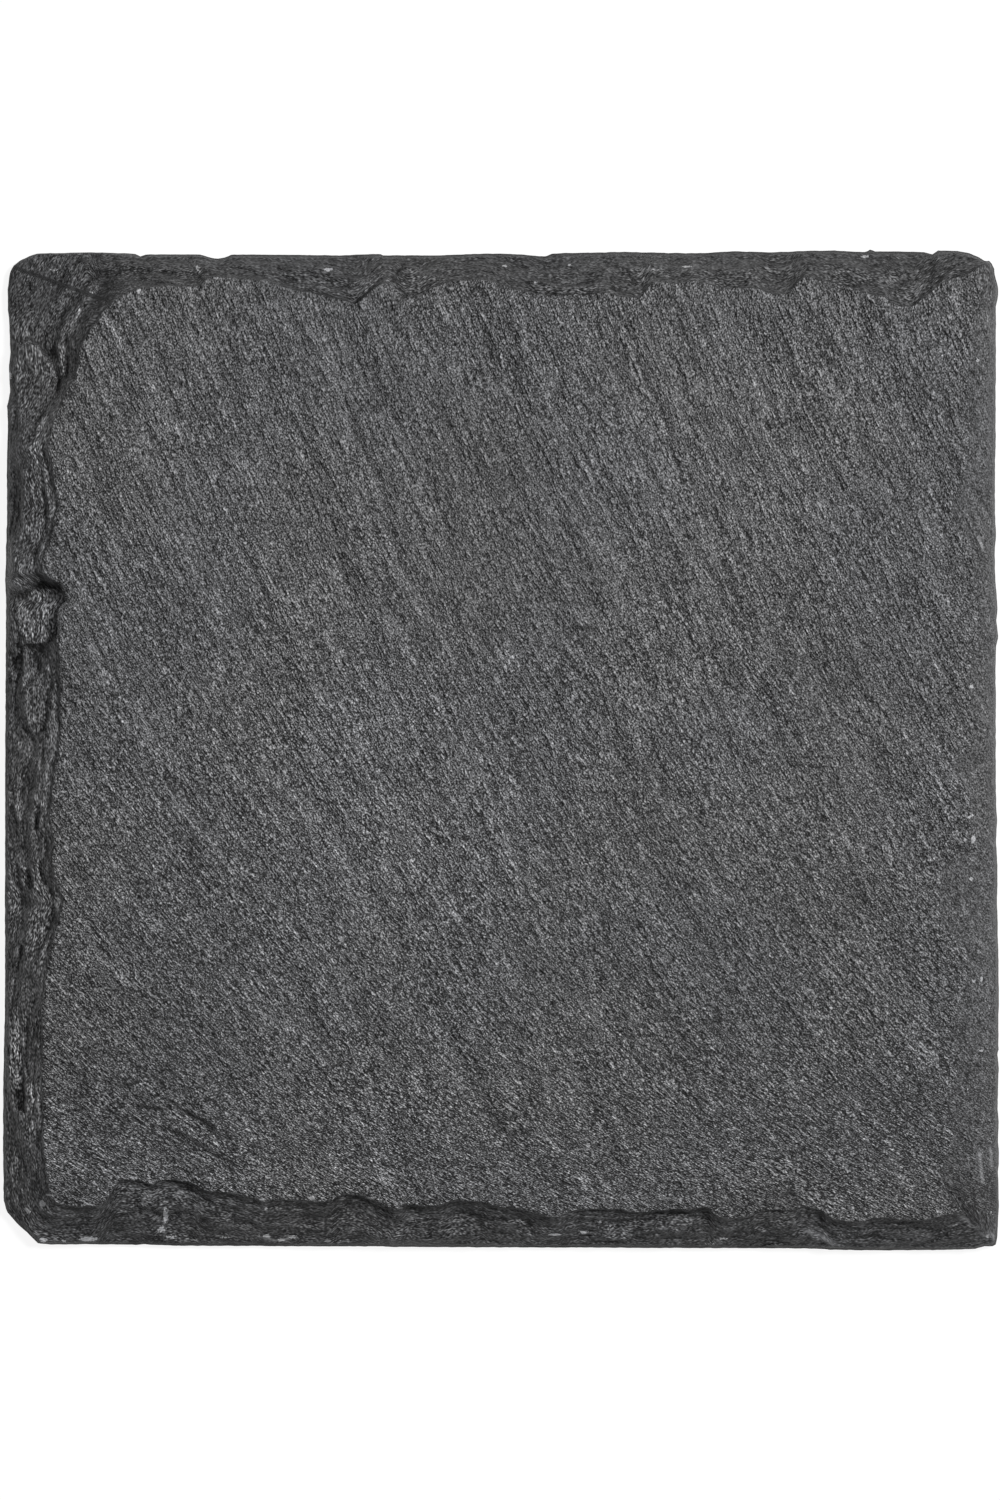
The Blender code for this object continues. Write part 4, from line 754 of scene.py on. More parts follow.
def shape_bevel(x, y, z, run, offset, width, east):
    """The broken edge over its own profile: facets, leaves and roughness. Returns heights and how smooth each spot is."""
    deep = smooth(offset / 0.5) * smooth((width - offset) / 0.4)
    plain = 1 - 0.85 * east
    scar = np.zeros(x.shape)
    # facets: small tilted planes that meet in ragged edges, longer along the grain of the break
    for size, tilt, lift, seed in ((2.0, 0.20, 0.22, 61), (1.0, 0.22, 0.13, 64)):
        wx = run / 2.6 + 0.45 * size * gnoise(run / (2.6 * size), offset / size, seed + 7)
        wy = offset + 0.45 * size * gnoise(run / (2.6 * size), offset / size, seed + 8)
        near, second, number, ox, oy = cells(wx / size, wy / size, seed)
        turn = number * 2 * math.pi
        edge = smooth((second - near) / 0.09)
        z = z + deep * plain * edge * (
            tilt * size * 0.5 * (np.cos(turn) * ox + np.sin(turn) * oy) + lift * (np.mod(number * 7.0, 1.0) - 0.5)
        )
        scar = np.maximum(scar, edge * (np.mod(number * 13.0, 1.0) > 0.55) * (0.9 if size > 1.5 else 0.7))
    # leaves: the break steps down from one leaf to the next
    lift = 0.45 * fbm(run / 7.0, offset / 3.0, 71, 2)
    strength = smooth(0.55 + 1.1 * gnoise(x / 6.0, y / 6.0, 72)) * plain
    z = z + deep * 0.8 * strength * (terrace(z + lift, LAMINA * 1.5, 0.45) - z - lift)
    z = z + deep * 0.45 * plain * (terrace(z + lift * 0.5, LAMINA * 0.5, 0.5) - z - lift * 0.5)
    rough = 1 - 0.7 * scar
    z = z + deep * plain * rough * (0.050 * gnoise(run / 1.3, offset / 0.5, 73) + 0.05 * gnoise(run / 2.6, offset / 0.9, 74))
    z = z + deep * east * 0.05 * fbm(x / 1.2, y / 9.0, 75, 2)
    return z, scar * plain


def areas(x, y, z, scar=None):
    for points, height, half in SHELVES:
        d, s, run = to_line(x, y, points)
        d = np.abs(d) + 0.10 * gnoise(x / 0.8, y / 0.8, 81)
        w = smooth((half - d) / 0.14 + 0.5)
        w = w * smooth((s + 0.3) / 0.6) * smooth((run + 0.3 - s) / 0.6)
        z = z + w * (height + 0.04 * gnoise(x / 0.9, y / 0.9, 82) - z)
        if scar is not None:
            scar = scar * (1 - w)
    for points, height, rise, soft in TREADS:
        middle = np.mean(points, axis=0)
        d = in_area(x, y, points) + 0.14 * gnoise(x / 0.8, y / 0.8, 83)
        w = smooth(d / (0.6 * soft) + 0.4)
        floor = height + rise * (x - middle[0]) + 0.05 * gnoise(x / 1.1, y / 1.1, 85) + 0.03 * gnoise(x / 0.7, y / 0.7, 86)
        z = z + w * (floor - z)
        if scar is not None:
            scar = scar * (1 - w)
    return z, scar


def ledge_scar_shading_and_wear(x, y):
    """Painted light and shade, partly wear, at the ledges, walls and scars of the broken edge: how much paler or
    darker.
    """
    tone = np.zeros(x.shape)
    for points, half, gain in LEDGES:
        d, s, run = to_line(x, y, points)
        d = np.abs(d + 0.05 * gnoise(x / 0.5, y / 0.5, 103))
        reach = 0.6 * half + 0.1
        ends = smooth((s + 0.1) / reach) * smooth((run + 0.1 - s) / reach)
        tone += gain * ends * smooth((half - d) / 0.11 + 0.5)
    for points, gain in SCARS:
        d = in_area(x, y, points) + 0.10 * gnoise(x / 0.7, y / 0.7, 104)
        tone += gain * smooth(d / 0.16 + 0.5)
    return np.clip(tone, -1.7, 1.5)


# Steps and cracks: lowers the ground, and returns the painted shade on each riser and in each crack.
def lines(x, y, z):
    dark = np.zeros(x.shape)
    for points, drop, wall, reach, strength in STEPS:
        d, s, run = to_line(x, y, points)
        d = d + 0.12 * gnoise(x / 0.9, y / 0.9, 84)
        if drop < 0:
            d, drop = -d, -drop
        ends = smooth((s + 0.3) / 1.2) * smooth((run + 0.3 - s) / 1.2)
        z = z - drop * ends * smooth(d / wall + 0.5) * np.exp(-np.maximum(d, 0) / reach)
        dark = np.maximum(dark, strength * ends * np.exp(-((d / (0.8 * wall)) ** 2)))
    for points, depth, half, strength in CRACKS:
        d, s, run = to_line(x, y, points)
        d = d + 0.08 * gnoise(x / 0.7, y / 0.7, 87)
        ends = smooth((s + 0.1) / 0.6) * smooth((run + 0.1 - s) / 0.6)
        line = ends * np.exp(-((d / half) ** 2))
        z = z - depth * line
        dark = np.maximum(dark, strength * line)
    return z, dark


# ---------------------------------------------------------------- building the mesh

FACE = 176  # grid cells along each side of the face
SIDE = 2 * FACE  # stations along each side of the bevel
BEVEL = 36  # rings from the crest to the rim
BASE = SIDE // 4  # grid cells along each side of the underside


def along_side(points, axis, positions):
    line = np.array(points)
    if line[0, axis] > line[-1, axis]:
        line = line[::-1]
    across = np.interp(positions, line[:, axis], line[:, 1 - axis])
    return np.stack([positions, across] if axis == 0 else [across, positions], axis=1)


def side_pair(crest, rim, axis, crowd=0.0):
    """Stations along one side's crest and rim, crowded together around the notch if asked."""
    c0, c1 = crest[0][axis], crest[-1][axis]
    r0, r1 = rim[0][axis], rim[-1][axis]
    s = np.linspace(c0, c1, 4001)
    reached = np.cumsum(1 + crowd * np.exp(-(((s - 7.0) / 15.0) ** 4)))
    s = np.interp(np.linspace(reached[0], reached[-1], SIDE + 1), reached, s)
    r = s + (r0 - c0) * np.exp(-(((s - c0) / CORNER_REACH) ** 2)) + (r1 - c1) * np.exp(-(((s - c1) / CORNER_REACH) ** 2))
    r[0], r[-1] = r0, r1
    return along_side(crest, axis, s), along_side(rim, axis, r)


def profile_knots(middle):
    """The profile's knots at every station, from the rows for each side."""
    rows = []
    for side, (table, axis, sign) in enumerate(
        ((PROFILE_NORTH, 0, 1), (PROFILE_EAST, 1, -1), (PROFILE_SOUTH, 0, -1), (PROFILE_WEST, 1, 1))
    ):
        rows += [(side + (sign * row[0] + 49.5) / 99.0,) + tuple(row[1:]) for row in table]
    rows.sort()
    rows = np.array([(rows[-1][0] - 4.0,) + rows[-1][1:]] + rows + [(rows[0][0] + 4.0,) + rows[0][1:]])
    place = np.empty(len(middle))
    for side, (axis, sign) in enumerate(((0, 1), (1, -1), (0, -1), (1, 1))):
        part = slice(side * SIDE, (side + 1) * SIDE)
        place[part] = side + np.clip((sign * middle[part, axis] + 49.5) / 99.0, 0.0, 1.0)
    return [np.interp(place, rows[:, 0], rows[:, k]) for k in range(1, 7)]


def closed_loops():
    pairs = [
        side_pair(CREST_NORTH, RIM_NORTH, 0),
        side_pair(CREST_EAST, RIM_EAST, 1),
        side_pair(CREST_SOUTH, RIM_SOUTH, 0),
        side_pair(CREST_WEST, RIM_WEST, 1, 0.55),
    ]
    return np.concatenate([c[:-1] for c, _ in pairs]), np.concatenate([r[:-1] for _, r in pairs])


def ragged(loop, size, amount, seed):
    """A closed loop with small irregularities across it."""
    tangent = np.roll(loop, -1, 0) - np.roll(loop, 1, 0)
    tangent /= np.linalg.norm(tangent, axis=1, keepdims=True)
    out = np.stack([-tangent[:, 1], tangent[:, 0]], 1)
    shift = amount * fbm(loop[:, 0] / size, loop[:, 1] / size, seed, 3)
    return loop + out * shift[:, None]


def spanned(loop, n):
    """The grid of points spanned by a closed loop of 4n stations, clockwise from the north-west; [west..east, south..north]."""
    take = [loop[np.arange(k * n, (k + 1) * n + 1) % (4 * n)] for k in range(4)]
    north, east, south, west = take[0], take[1][::-1], take[2][::-1], take[3]
    u = np.linspace(0, 1, n + 1)[:, None, None]
    v = np.linspace(0, 1, n + 1)[None, :, None]
    return (
        (1 - v) * south[:, None] + v * north[:, None] + (1 - u) * west[None] + u * east[None]
        - ((1 - u) * (1 - v) * south[0] + u * (1 - v) * south[-1] + (1 - u) * v * north[0] + u * v * north[-1])
    )


def border(n):
    """Grid indices of the border of an (n+1) by (n+1) grid, clockwise from the north-west."""
    a = np.arange(n)
    full = np.full(n, n)
    zero = np.zeros(n, int)
    i = np.concatenate([a, full, n - a, zero])
    j = np.concatenate([full, n - a, zero, a])
    return i * (n + 1) + j


def build():
    crest, rim = closed_loops()
    middle = (rim.min(0) + rim.max(0)) / 2
    crest, rim = ragged(crest, 0.9, 0.10, 91), ragged(rim, 0.8, 0.035, 92)
    total = 4 * SIDE
    grid = spanned(crest[::2], FACE).reshape(-1, 2)
    edge = border(FACE)

    gx, gy = grid[:, 0], grid[:, 1]
    gz = FACE_Z + face_relief(gx, gy)
    gz, gdark = lines(gx, gy, gz)
    gz, _ = areas(gx, gy, gz)
    top = np.empty(total)
    top[::2] = gz[edge]
    top[1::2] = (gz[edge] + np.roll(gz[edge], -1)) / 2

    width = np.linalg.norm(rim - crest, axis=1)
    mid = (rim + crest) / 2
    east = smooth((mid[:, 0] - 44.5) / 2.0) * smooth((47.0 - np.abs(mid[:, 1])) / 3.0)
    q1, z1, q2, z2, q3, z3 = profile_knots(mid)
    rim_z = RIM_Z + 0.25 * fbm(mid[:, 0] / 4.0, mid[:, 1] / 4.0, 93, 3)
    shoulder = rim_z + 0.55 + 0.25 * fbm(mid[:, 0] / 3.0, mid[:, 1] / 3.0, 94, 2) + 0.9 * east

    lip = (0.42 + 0.25 * fbm(mid[:, 0] / 5.0, mid[:, 1] / 5.0, 95, 2)) * (1 - 0.9 * east)
    lip = lip * (1 - 0.5 * smooth((mid[:, 1] - 42) / 3.0))
    west = smooth((-43.0 - mid[:, 0]) / 2.0) * smooth((40.0 - np.abs(mid[:, 1])) / 3.0)
    lip = lip * (1 - 0.65 * west)
    z1 = z1 + 0.30 * west * smooth((z1 - 3.3) / 0.5)
    arc = np.concatenate([[0.0], np.cumsum(np.linalg.norm(np.diff(mid, axis=0), axis=1))])

    rings_xy, rings_z, rings_off, rings_scar, rings_dark = [], [], [], [], []
    for k in range(BEVEL):
        f = k / (BEVEL - 1)
        f = 0.62 * f + 0.38 * smooth(f)  # rings lie closer together at the crest and at the rim
        off = 0.07 + (width - 0.07) * f
        q = off / width
        xy = crest + (rim - crest) * q[:, None]
        x, y = xy[:, 0], xy[:, 1]
        # the scars' edges wander in and out
        w = 4 * q * (1 - q) * (0.10 * fbm(x / 4.2, y / 4.2, 88, 2) + 0.045 * gnoise(x / 1.1, y / 1.1, 89))
        p = np.clip(q + w * (1 - 0.4 * east), 0.0, 1.0)
        z = np.where(
            p < q1,
            top + (z1 - top) * p / q1,
            np.where(
                p < q2,
                z1 + (z2 - z1) * (p - q1) / (q2 - q1),
                np.where(p < q3, z2 + (z3 - z2) * (p - q2) / (q3 - q2), z3 + (shoulder - z3) * (p - q3) / (1 - q3)),
            ),
        )
        # the uppermost leaf ends in a little wall of its own
        z = z - lip * smooth(off / 0.15) * np.maximum(1 - off / (0.9 * width), 0)
        z, scar = shape_bevel(x, y, z, arc, off, width, east)
        z, dark = lines(x, y, z)
        z, scar = areas(x, y, z, scar)
        # the same painted light and shade also lifts the pale spots and sinks the dark ones a little
        z = z + 0.10 * np.clip(ledge_scar_shading_and_wear(x, y), -1.0, 0.6) * smooth(off / 0.3) * smooth((width - off) / 0.3)
        # the thin steep lip at the rim
        z = np.minimum(z, shoulder + 5.0 * (width - off))
        z = z - (np.maximum(z, rim_z) - rim_z) * np.exp(-(((width - off) / 0.20) ** 2))
        z = np.clip(z, 0.35, top + 0.02)
        rings_xy.append(xy)
        rings_z.append(z)
        rings_off.append(off)
        rings_scar.append(scar)
        rings_dark.append(dark)

    # the broken edge under the rim, then the arris where it meets the underside
    inward = middle - rim
    away = np.abs(rim - middle)
    inward = np.sign(inward) * np.stack([away[:, 0] > 46.5, away[:, 1] > 46.5], 1)
    inward = inward / np.maximum(np.linalg.norm(inward, axis=1, keepdims=True), 1)
    for share, back in ((0.62, 0.03), (0.3, 0.10), (0.0, 0.30)):
        jag = np.abs(fbm(rim[:, 0] / 1.1, rim[:, 1] / 1.1, 96 + int(share * 10), 2)) * 0.12
        rings_xy.append(rim + inward * (back + jag)[:, None])
        rings_z.append(share * rim_z)
        rings_off.append(width + back)
        rings_scar.append(np.zeros(total))
        rings_dark.append(np.zeros(total))
    under = rings_xy[-1] + inward * 0.9
    rings_xy.append(under)
    rings_z.append(np.zeros(total))
    rings_off.append(width + 1.2)
    rings_scar.append(np.zeros(total))
    rings_dark.append(np.zeros(total))

    base_loop = (under + inward * 0.9)[::4]
    base = spanned(base_loop, BASE).reshape(-1, 2)

    count = len(grid)
    xyz = [np.column_stack([grid, gz])]
    for xy, z in zip(rings_xy, rings_z):
        xyz.append(np.column_stack([xy, z]))
    ring_ids = [count + total * r + np.arange(total) for r in range(len(rings_xy))]
    base_start = count + total * len(rings_xy)
    bx, by = base[:, 0], base[:, 1]
    near = in_area(bx, by, [tuple(p) for p in base_loop[::4]])
    bz = 0.22 * np.maximum(fbm(bx / 8.0, by / 5.0, 97, 3) - 0.15, 0) * smooth(near / 3.0)
    xyz.append(np.column_stack([base, bz]))
    xyz = np.concatenate(xyz)

    faces = []
    i, j = np.meshgrid(np.arange(FACE), np.arange(FACE), indexing="ij")
    a = (i * (FACE + 1) + j).ravel()
    faces.append(np.stack([a, a + FACE + 1, a + FACE + 2, a + 1], 1))
    for inner, outer in zip(ring_ids[:-1], ring_ids[1:]):
        faces.append(np.stack([inner, np.roll(inner, -1), np.roll(outer, -1), outer], 1))
    i, j = np.meshgrid(np.arange(BASE), np.arange(BASE), indexing="ij")
    a = base_start + (i * (BASE + 1) + j).ravel()
    faces.append(np.stack([a, a + 1, a + BASE + 2, a + BASE + 1], 1))
    quads = np.concatenate(faces)
    # the strip that joins four fine edges to one coarse one
    fine = ring_ids[-1]
    coarse = base_start + border(BASE)
    # and the strip that joins two stations of the bevel to one cell of the face
    tris = []
    lip = ring_ids[0]
    for k in range(4 * FACE):
        c0, c1 = edge[k], edge[(k + 1) % (4 * FACE)]
        f = [lip[(2 * k + m) % total] for m in range(3)]
        tris += [(c0, c1, f[1]), (c0, f[1], f[0]), (c1, f[2], f[1])]
    info_lip = len(tris)
    for k in range(4 * BASE):
        c0, c1 = coarse[k], coarse[(k + 1) % (4 * BASE)]
        f = [fine[(4 * k + m) % total] for m in range(5)]
        tris += [(f[0], f[1], c0), (f[1], f[2], c0), (f[2], c1, c0), (f[2], f[3], c1), (f[3], f[4], c1)]
    xyz[:, :2] -= middle
    none = np.zeros(len(base))
    inside = np.full((FACE + 1, FACE + 1), 9.0)
    i, j = np.meshgrid(np.arange(FACE + 1), np.arange(FACE + 1), indexing="ij")
    rows = np.minimum(np.minimum(i, FACE - i), np.minimum(j, FACE - j))
    flat = np.flatnonzero((rows > 0).ravel() & (rows < 8).ravel())
    gaps = [np.hypot(grid[part, 0, None] - crest[None, :, 0], grid[part, 1, None] - crest[None, :, 1]).min(1)
            for part in np.array_split(flat, 12)]
    inside.ravel()[flat] = np.concatenate(gaps)
    inside.ravel()[edge] = 0.0
    info = {
        "inside": np.concatenate([inside.ravel(), -np.concatenate(rings_off), none + 9.0]),
        "count": count, "total": total, "rings": len(rings_xy), "base": base_start, "middle": middle,
        "offset": np.concatenate(rings_off),  # of the rings only
        "scar": np.concatenate([np.zeros(count), *rings_scar, none]),
        "dark": np.concatenate([gdark, *rings_dark, none]),
        "east": np.concatenate([np.zeros(count), np.tile(east, len(rings_xy)), none]),
        "run": np.concatenate([np.zeros(count), np.tile(arc, len(rings_xy)), none]),
        "to_rim": np.concatenate([np.full(count, 9.0)] + [width - o for o in rings_off] + [none + 9.0]),
        "upper_quads": FACE * FACE + total * (BEVEL - 1), "quads": len(quads), "lip_tris": info_lip,
    }
    return xyz, quads, np.array(tris), info


def write_mesh(name, xyz, quads, tris, crest):
    mesh = bpy.data.meshes.new(name)
    corners = np.concatenate([quads.ravel(), tris.ravel()]).astype(np.int32)
    starts = np.concatenate([np.arange(len(quads)) * 4, len(quads) * 4 + np.arange(len(tris)) * 3]).astype(np.int32)
    mesh.vertices.add(len(xyz))
    mesh.vertices.foreach_set("co", (xyz * MM).astype(np.float32).ravel())
    mesh.loops.add(len(corners))
    mesh.loops.foreach_set("vertex_index", corners)
    mesh.polygons.add(len(starts))
    mesh.polygons.foreach_set("loop_start", starts)
    mesh.update(calc_edges=True)
    mesh.validate()
    mesh.shade_smooth()
    # the crest is a sharp edge
    edges = np.empty(len(mesh.edges) * 2, np.int32)
    mesh.edges.foreach_get("vertices", edges)
    on_crest = (edges >= crest[0]) & (edges < crest[1])
    sharp = mesh.attributes.new("sharp_edge", "BOOLEAN", "EDGE")
    sharp.data.foreach_set("value", on_crest[0::2] & on_crest[1::2])
    return mesh


def store(mesh, name, values):
    values = np.asarray(values, np.float32)
    if values.ndim == 1:
        layer = mesh.attributes.new(name, "FLOAT", "POINT")
        layer.data.foreach_set("value", values)
    else:
        layer = mesh.attributes.new(name, "FLOAT_VECTOR", "POINT")
        layer.data.foreach_set("vector", values.ravel())


def bends(mesh, xyz):
    """How far each vertex stands above the mean of its neighbours, in mm: above 0 on ridges, below 0 in hollows."""
    n = len(xyz)
    edges = np.empty(len(mesh.edges) * 2, np.int32)
    mesh.edges.foreach_get("vertices", edges)
    a, b = edges[0::2], edges[1::2]
    normal = np.empty(n * 3, np.float32)
    mesh.vertices.foreach_get("normal", normal)
    normal = normal.reshape(-1, 3)
    value = xyz
    degree = np.bincount(a, minlength=n) + np.bincount(b, minlength=n)
    mean = np.stack(
        [
            (np.bincount(a, value[b, c], minlength=n) + np.bincount(b, value[a, c], minlength=n)) / degree
            for c in range(3)
        ],
        1,
    )
    return ((value - mean) * normal).sum(1), degree, (a, b)


def spread(values, links, degree, rounds):
    a, b = links
    n = len(values)
    for _ in range(rounds):
        mean = (np.bincount(a, values[b], minlength=n) + np.bincount(b, values[a], minlength=n)) / degree
        values = 0.5 * values + 0.5 * mean
    return values


# ---------------------------------------------------------------- material


class Term:
    """A socket times a gain plus a bias; a node is made for it only when it is needed."""

    def __init__(self, socket, gain=1.0, bias=0.0):
        self.socket, self.gain, self.bias, self.made = socket, gain, bias, None


class Nodes:
    """A short way to write a shader as expressions."""

    def __init__(self, material):
        self.tree = material.node_tree
        self.column = 0

    def new(self, kind, **settings):
        node = self.tree.nodes.new(kind)
        node.location = (-1800 + 40 * self.column, -30 * (self.column % 17))
        self.column += 1
        for key, value in settings.items():
            setattr(node, key, value)
        return node

    def put(self, socket, value):
        value = self.real(value)
        if isinstance(value, (int, float, tuple)):
            socket.default_value = value
        else:
            self.tree.links.new(value, socket)

    def term(self, value):
        if isinstance(value, Term):
            return value
        if isinstance(value, (int, float)):
            return Term(None, 0.0, float(value))
        return Term(value)

    def real(self, value):
        if not isinstance(value, Term):
            return value
        if value.socket is None:
            return value.bias
        if value.gain == 1.0 and value.bias == 0.0:
            return value.socket
        if value.made is None:
            value.made = self.node("MULTIPLY_ADD", value.socket, value.gain, value.bias)
        return value.made

    def node(self, operation, a, b=0.0, c=0.0):
        node = self.new("ShaderNodeMath", operation=operation)
        for socket, value in zip(node.inputs, (a, b, c)):
            self.put(socket, value)
        return node.outputs[0]

    def math(self, operation, a, b=0.0, c=0.0):
        if operation == "SUBTRACT":
            return self.add(a, self.mul(b, -1.0))
        if operation == "MULTIPLY":
            return self.mul(a, b)
        return Term(self.node(operation, a, b, c))

    def add(self, a, b):
        a, b = self.term(a), self.term(b)
        if a.socket is None:
            a, b = b, a
        bias = a.bias + b.bias
        if b.socket is None:
            return Term(a.socket, a.gain, bias)
        if a.gain == b.gain:
            return Term(self.node("ADD", a.socket, b.socket), a.gain, bias)
        if b.gain == 1.0:
            a, b = b, a
        return Term(self.node("MULTIPLY_ADD", b.socket, b.gain / a.gain, a.socket), a.gain, bias)

    def factor(self, value):
        """The same value without a bias."""
        return value if value.bias == 0.0 else Term(self.real(value))

    def mul(self, a, b):
        a, b = self.term(a), self.term(b)
        if a.socket is None:
            a, b = b, a
        if b.socket is None:
            return Term(a.socket, a.gain * b.bias, a.bias * b.bias)
        a, b = self.factor(a), self.factor(b)
        return Term(self.node("MULTIPLY", a.socket, b.socket), a.gain * b.gain, 0.0)

    def mad(self, a, b, c):
        a, b, c = self.term(a), self.term(b), self.term(c)
        if a.socket is None or b.socket is None or c.socket is None:
            return self.add(self.mul(a, b), c)
        a, b = self.factor(a), self.factor(b)
        if a.gain * b.gain == c.gain:
            return Term(self.node("MULTIPLY_ADD", a.socket, b.socket, c.socket), c.gain, c.bias)
        return self.add(self.mul(a, b), c)

    def attribute(self, name):
        return self.new("ShaderNodeAttribute", attribute_name=name, attribute_type="GEOMETRY")

    def scaled(self, vector, sx, sy, sz):
        vector, shift = vector if isinstance(vector, tuple) else (vector, (0.0, 0.0, 0.0))
        node = self.new("ShaderNodeVectorMath", operation="MULTIPLY_ADD" if any(shift) else "MULTIPLY")
        self.put(node.inputs[0], vector)
        node.inputs[1].default_value = (sx, sy, sz)
        if any(shift):
            node.inputs[2].default_value = (sx * shift[0], sy * shift[1], sz * shift[2])
        return node.outputs[0]

    def moved(self, vector, dx, dy, dz):
        return vector, (dx, dy, dz)

    def noise(self, vector, scale=1.0, detail=0.0, roughness=0.5):
        """Blender's noise, centred on 0."""
        node = self.new("ShaderNodeTexNoise", noise_dimensions="3D")
        self.put(node.inputs["Vector"], vector)
        node.inputs["Scale"].default_value = scale
        node.inputs["Detail"].default_value = detail
        node.inputs["Roughness"].default_value = roughness
        node.inputs["Distortion"].default_value = 0.0
        return Term(node.outputs["Fac"], 1.0, -0.5)

    def ramp(self, value, low, high, to_low=0.0, to_high=1.0):
        value = self.term(value)
        low, high = (low - value.bias) / value.gain, (high - value.bias) / value.gain
        node = self.new("ShaderNodeMapRange", interpolation_type="SMOOTHSTEP", clamp=True)
        self.put(node.inputs["Value"], value.socket)
        for key, number in (("From Min", low), ("From Max", high), ("To Min", to_low), ("To Max", to_high)):
            node.inputs[key].default_value = number
        return Term(node.outputs["Result"])


def put_color(mix, name, value):
    """A mix node has one A and one B for each kind of data; these are the colour ones."""
    for socket in mix.inputs:
        if socket.name == name and socket.type == "RGBA":
            socket.default_value = value


def slate():
    material = bpy.data.materials.new("slate")
    material.use_nodes = True
    n = Nodes(material)
    shader = material.node_tree.nodes["Principled BSDF"]

    along = n.attribute("grain").outputs["Vector"]  # mm along and across the grain, and up
    drifts = n.attribute("drift").outputs["Vector"]  # mm along and across the long streaks, and up
    place = n.attribute("place").outputs["Vector"]  # mm
    bevel = n.attribute("bevel").outputs["Fac"]
    steep = n.attribute("steep").outputs["Fac"]
    scar = n.attribute("scar").outputs["Fac"]
    east = n.attribute("east").outputs["Fac"]
    ridge = n.attribute("ridge").outputs["Fac"]
    hollow = n.attribute("hollow").outputs["Fac"]
    riser_crack_shade = n.attribute("riser_crack_shade").outputs["Fac"]
    painted_shading_and_wear = n.attribute("painted_shading_and_wear").outputs["Fac"]
    edge = n.attribute("edge").outputs["Vector"]  # along the rim (1.8 mm to the unit) and out from the crest, and up
    speck = n.attribute("speck").outputs["Fac"]
    low = n.new("ShaderNodeSeparateXYZ")
    n.put(low.inputs[0], place)
    rugged = n.ramp(low.outputs["Y"], 38.0, -36.0)  # the face is split more roughly towards the south
    smooth_side = n.math("SUBTRACT", 1.0, rugged)
    # how coarse the stone is: the split face and level ground are grainy, steep scars are smooth
    calm = n.math("MAXIMUM", n.mul(steep, 0.52), n.math("MAXIMUM", n.mul(scar, 0.48), n.mul(east, 0.28)))
    coarse = n.math("SUBTRACT", 1.0, calm)
    inside = n.attribute("inside").outputs["Fac"]  # mm in from the crest, below 0 outside it
    notched = n.mad(n.noise(n.scaled(place, 1 / 0.32, 1 / 0.32, 0.0), 1.0, 1.0, 0.6), 0.22, inside)
    broken = n.math("MULTIPLY", n.ramp(notched, 0.01, -0.05), n.mad(east, -0.8, 1.0))
    facing = n.math("SUBTRACT", 1.0, broken)
    # on broken ground everything runs along the edge
    turned = n.new("ShaderNodeMix", data_type="VECTOR", clamp_factor=True)
    n.put(turned.inputs["Factor"], n.math("GREATER_THAN", broken, 0.5))
    for socket in turned.inputs:
        if socket.type == "VECTOR" and socket.name in ("A", "B"):
            n.put(socket, along if socket.name == "A" else edge)
    along = turned.outputs[1]

    # relief too fine for the mesh, in mm
    g1 = n.noise(n.scaled(along, 1 / 1.4, 1 / 0.46, 1 / 0.6), 1.0, 1.0, 0.55)
    g2 = n.noise(n.scaled(n.moved(along, 7.3, 1.9, 0), 1 / 0.55, 1 / 0.27, 1 / 0.4), 1.0, 1.0, 0.6)
    g3 = n.noise(n.scaled(n.moved(along, 2.1, 9.7, 0), 1 / 0.18, 1 / 0.145, 1 / 0.2), 1.0, 0.0)
    streak = n.noise(n.scaled(n.moved(drifts, 15.0, 3.0, 0), 1 / 5.0, 1 / 0.38, 1 / 0.6), 1.0, 1.0, 0.5)
    dash = n.ramp(n.noise(n.scaled(n.moved(along, 5.0, 23.0, 0), 1 / 2.1, 1 / 0.24, 1 / 0.6), 1.0, 0.0), 0.09, 0.28)
    lump = n.noise(n.scaled(n.moved(along, 44.0, 9.0, 0), 1 / 0.80, 1 / 0.42, 1 / 0.5), 1.0, 1.0, 0.6)
    fine = n.add(n.mul(g1, 0.24), n.add(n.mul(g2, 0.28), n.mul(g3, 0.15)))
    fine = n.mad(n.mul(streak, n.mad(smooth_side, 0.14, 0.06)), 1.0, n.mad(dash, 0.05, fine))
    fine = n.add(fine, n.mul(lump, n.mad(rugged, 0.16, 0.06)))
    # threads: thin raised leaf ends that run with the long streaks, a few mm apart and broken into short lengths
    wander = n.noise(n.scaled(n.moved(drifts, 9.0, 31.0, 0), 1 / 9.0, 1 / 1.15, 1 / 2.0), 1.0, 1.0, 0.35)
    knots = n.noise(n.scaled(n.moved(along, 61.0, 2.0, 0), 1 / 1.3, 1 / 0.5, 1 / 0.8), 1.0, 1.0, 0.6)
    thread = n.mul(n.ramp(n.math("ABSOLUTE", wander), 0.075, 0.0), n.ramp(knots, -0.10, 0.10))
    fine = n.add(fine, n.mul(thread, n.mad(rugged, 0.045, 0.060)))
    # on broken ground the leaves show as thin lines at one height
    l1 = n.noise(n.scaled(place, 1 / 3.0, 1 / 3.0, 1 / 0.14), 1.0, 1.0, 0.6)
    l2 = n.noise(n.scaled(edge, 1 / 0.75, 1 / 0.36, 1 / 0.34), 1.0, 2.0, 0.75)
    chips = n.add(n.mul(l1, 0.17), n.mul(l2, 0.48))
    relief = n.add(n.mul(n.mul(fine, coarse), facing), n.mul(n.mul(chips, coarse), broken))
    relief = n.add(relief, n.mul(n.mul(g3, broken), 0.09))

    bump = n.new("ShaderNodeBump")
    bump.inputs["Strength"].default_value = 1.0
    bump.inputs["Distance"].default_value = MM
    n.put(bump.inputs["Height"], relief)
    n.put(shader.inputs["Normal"], bump.outputs["Normal"])

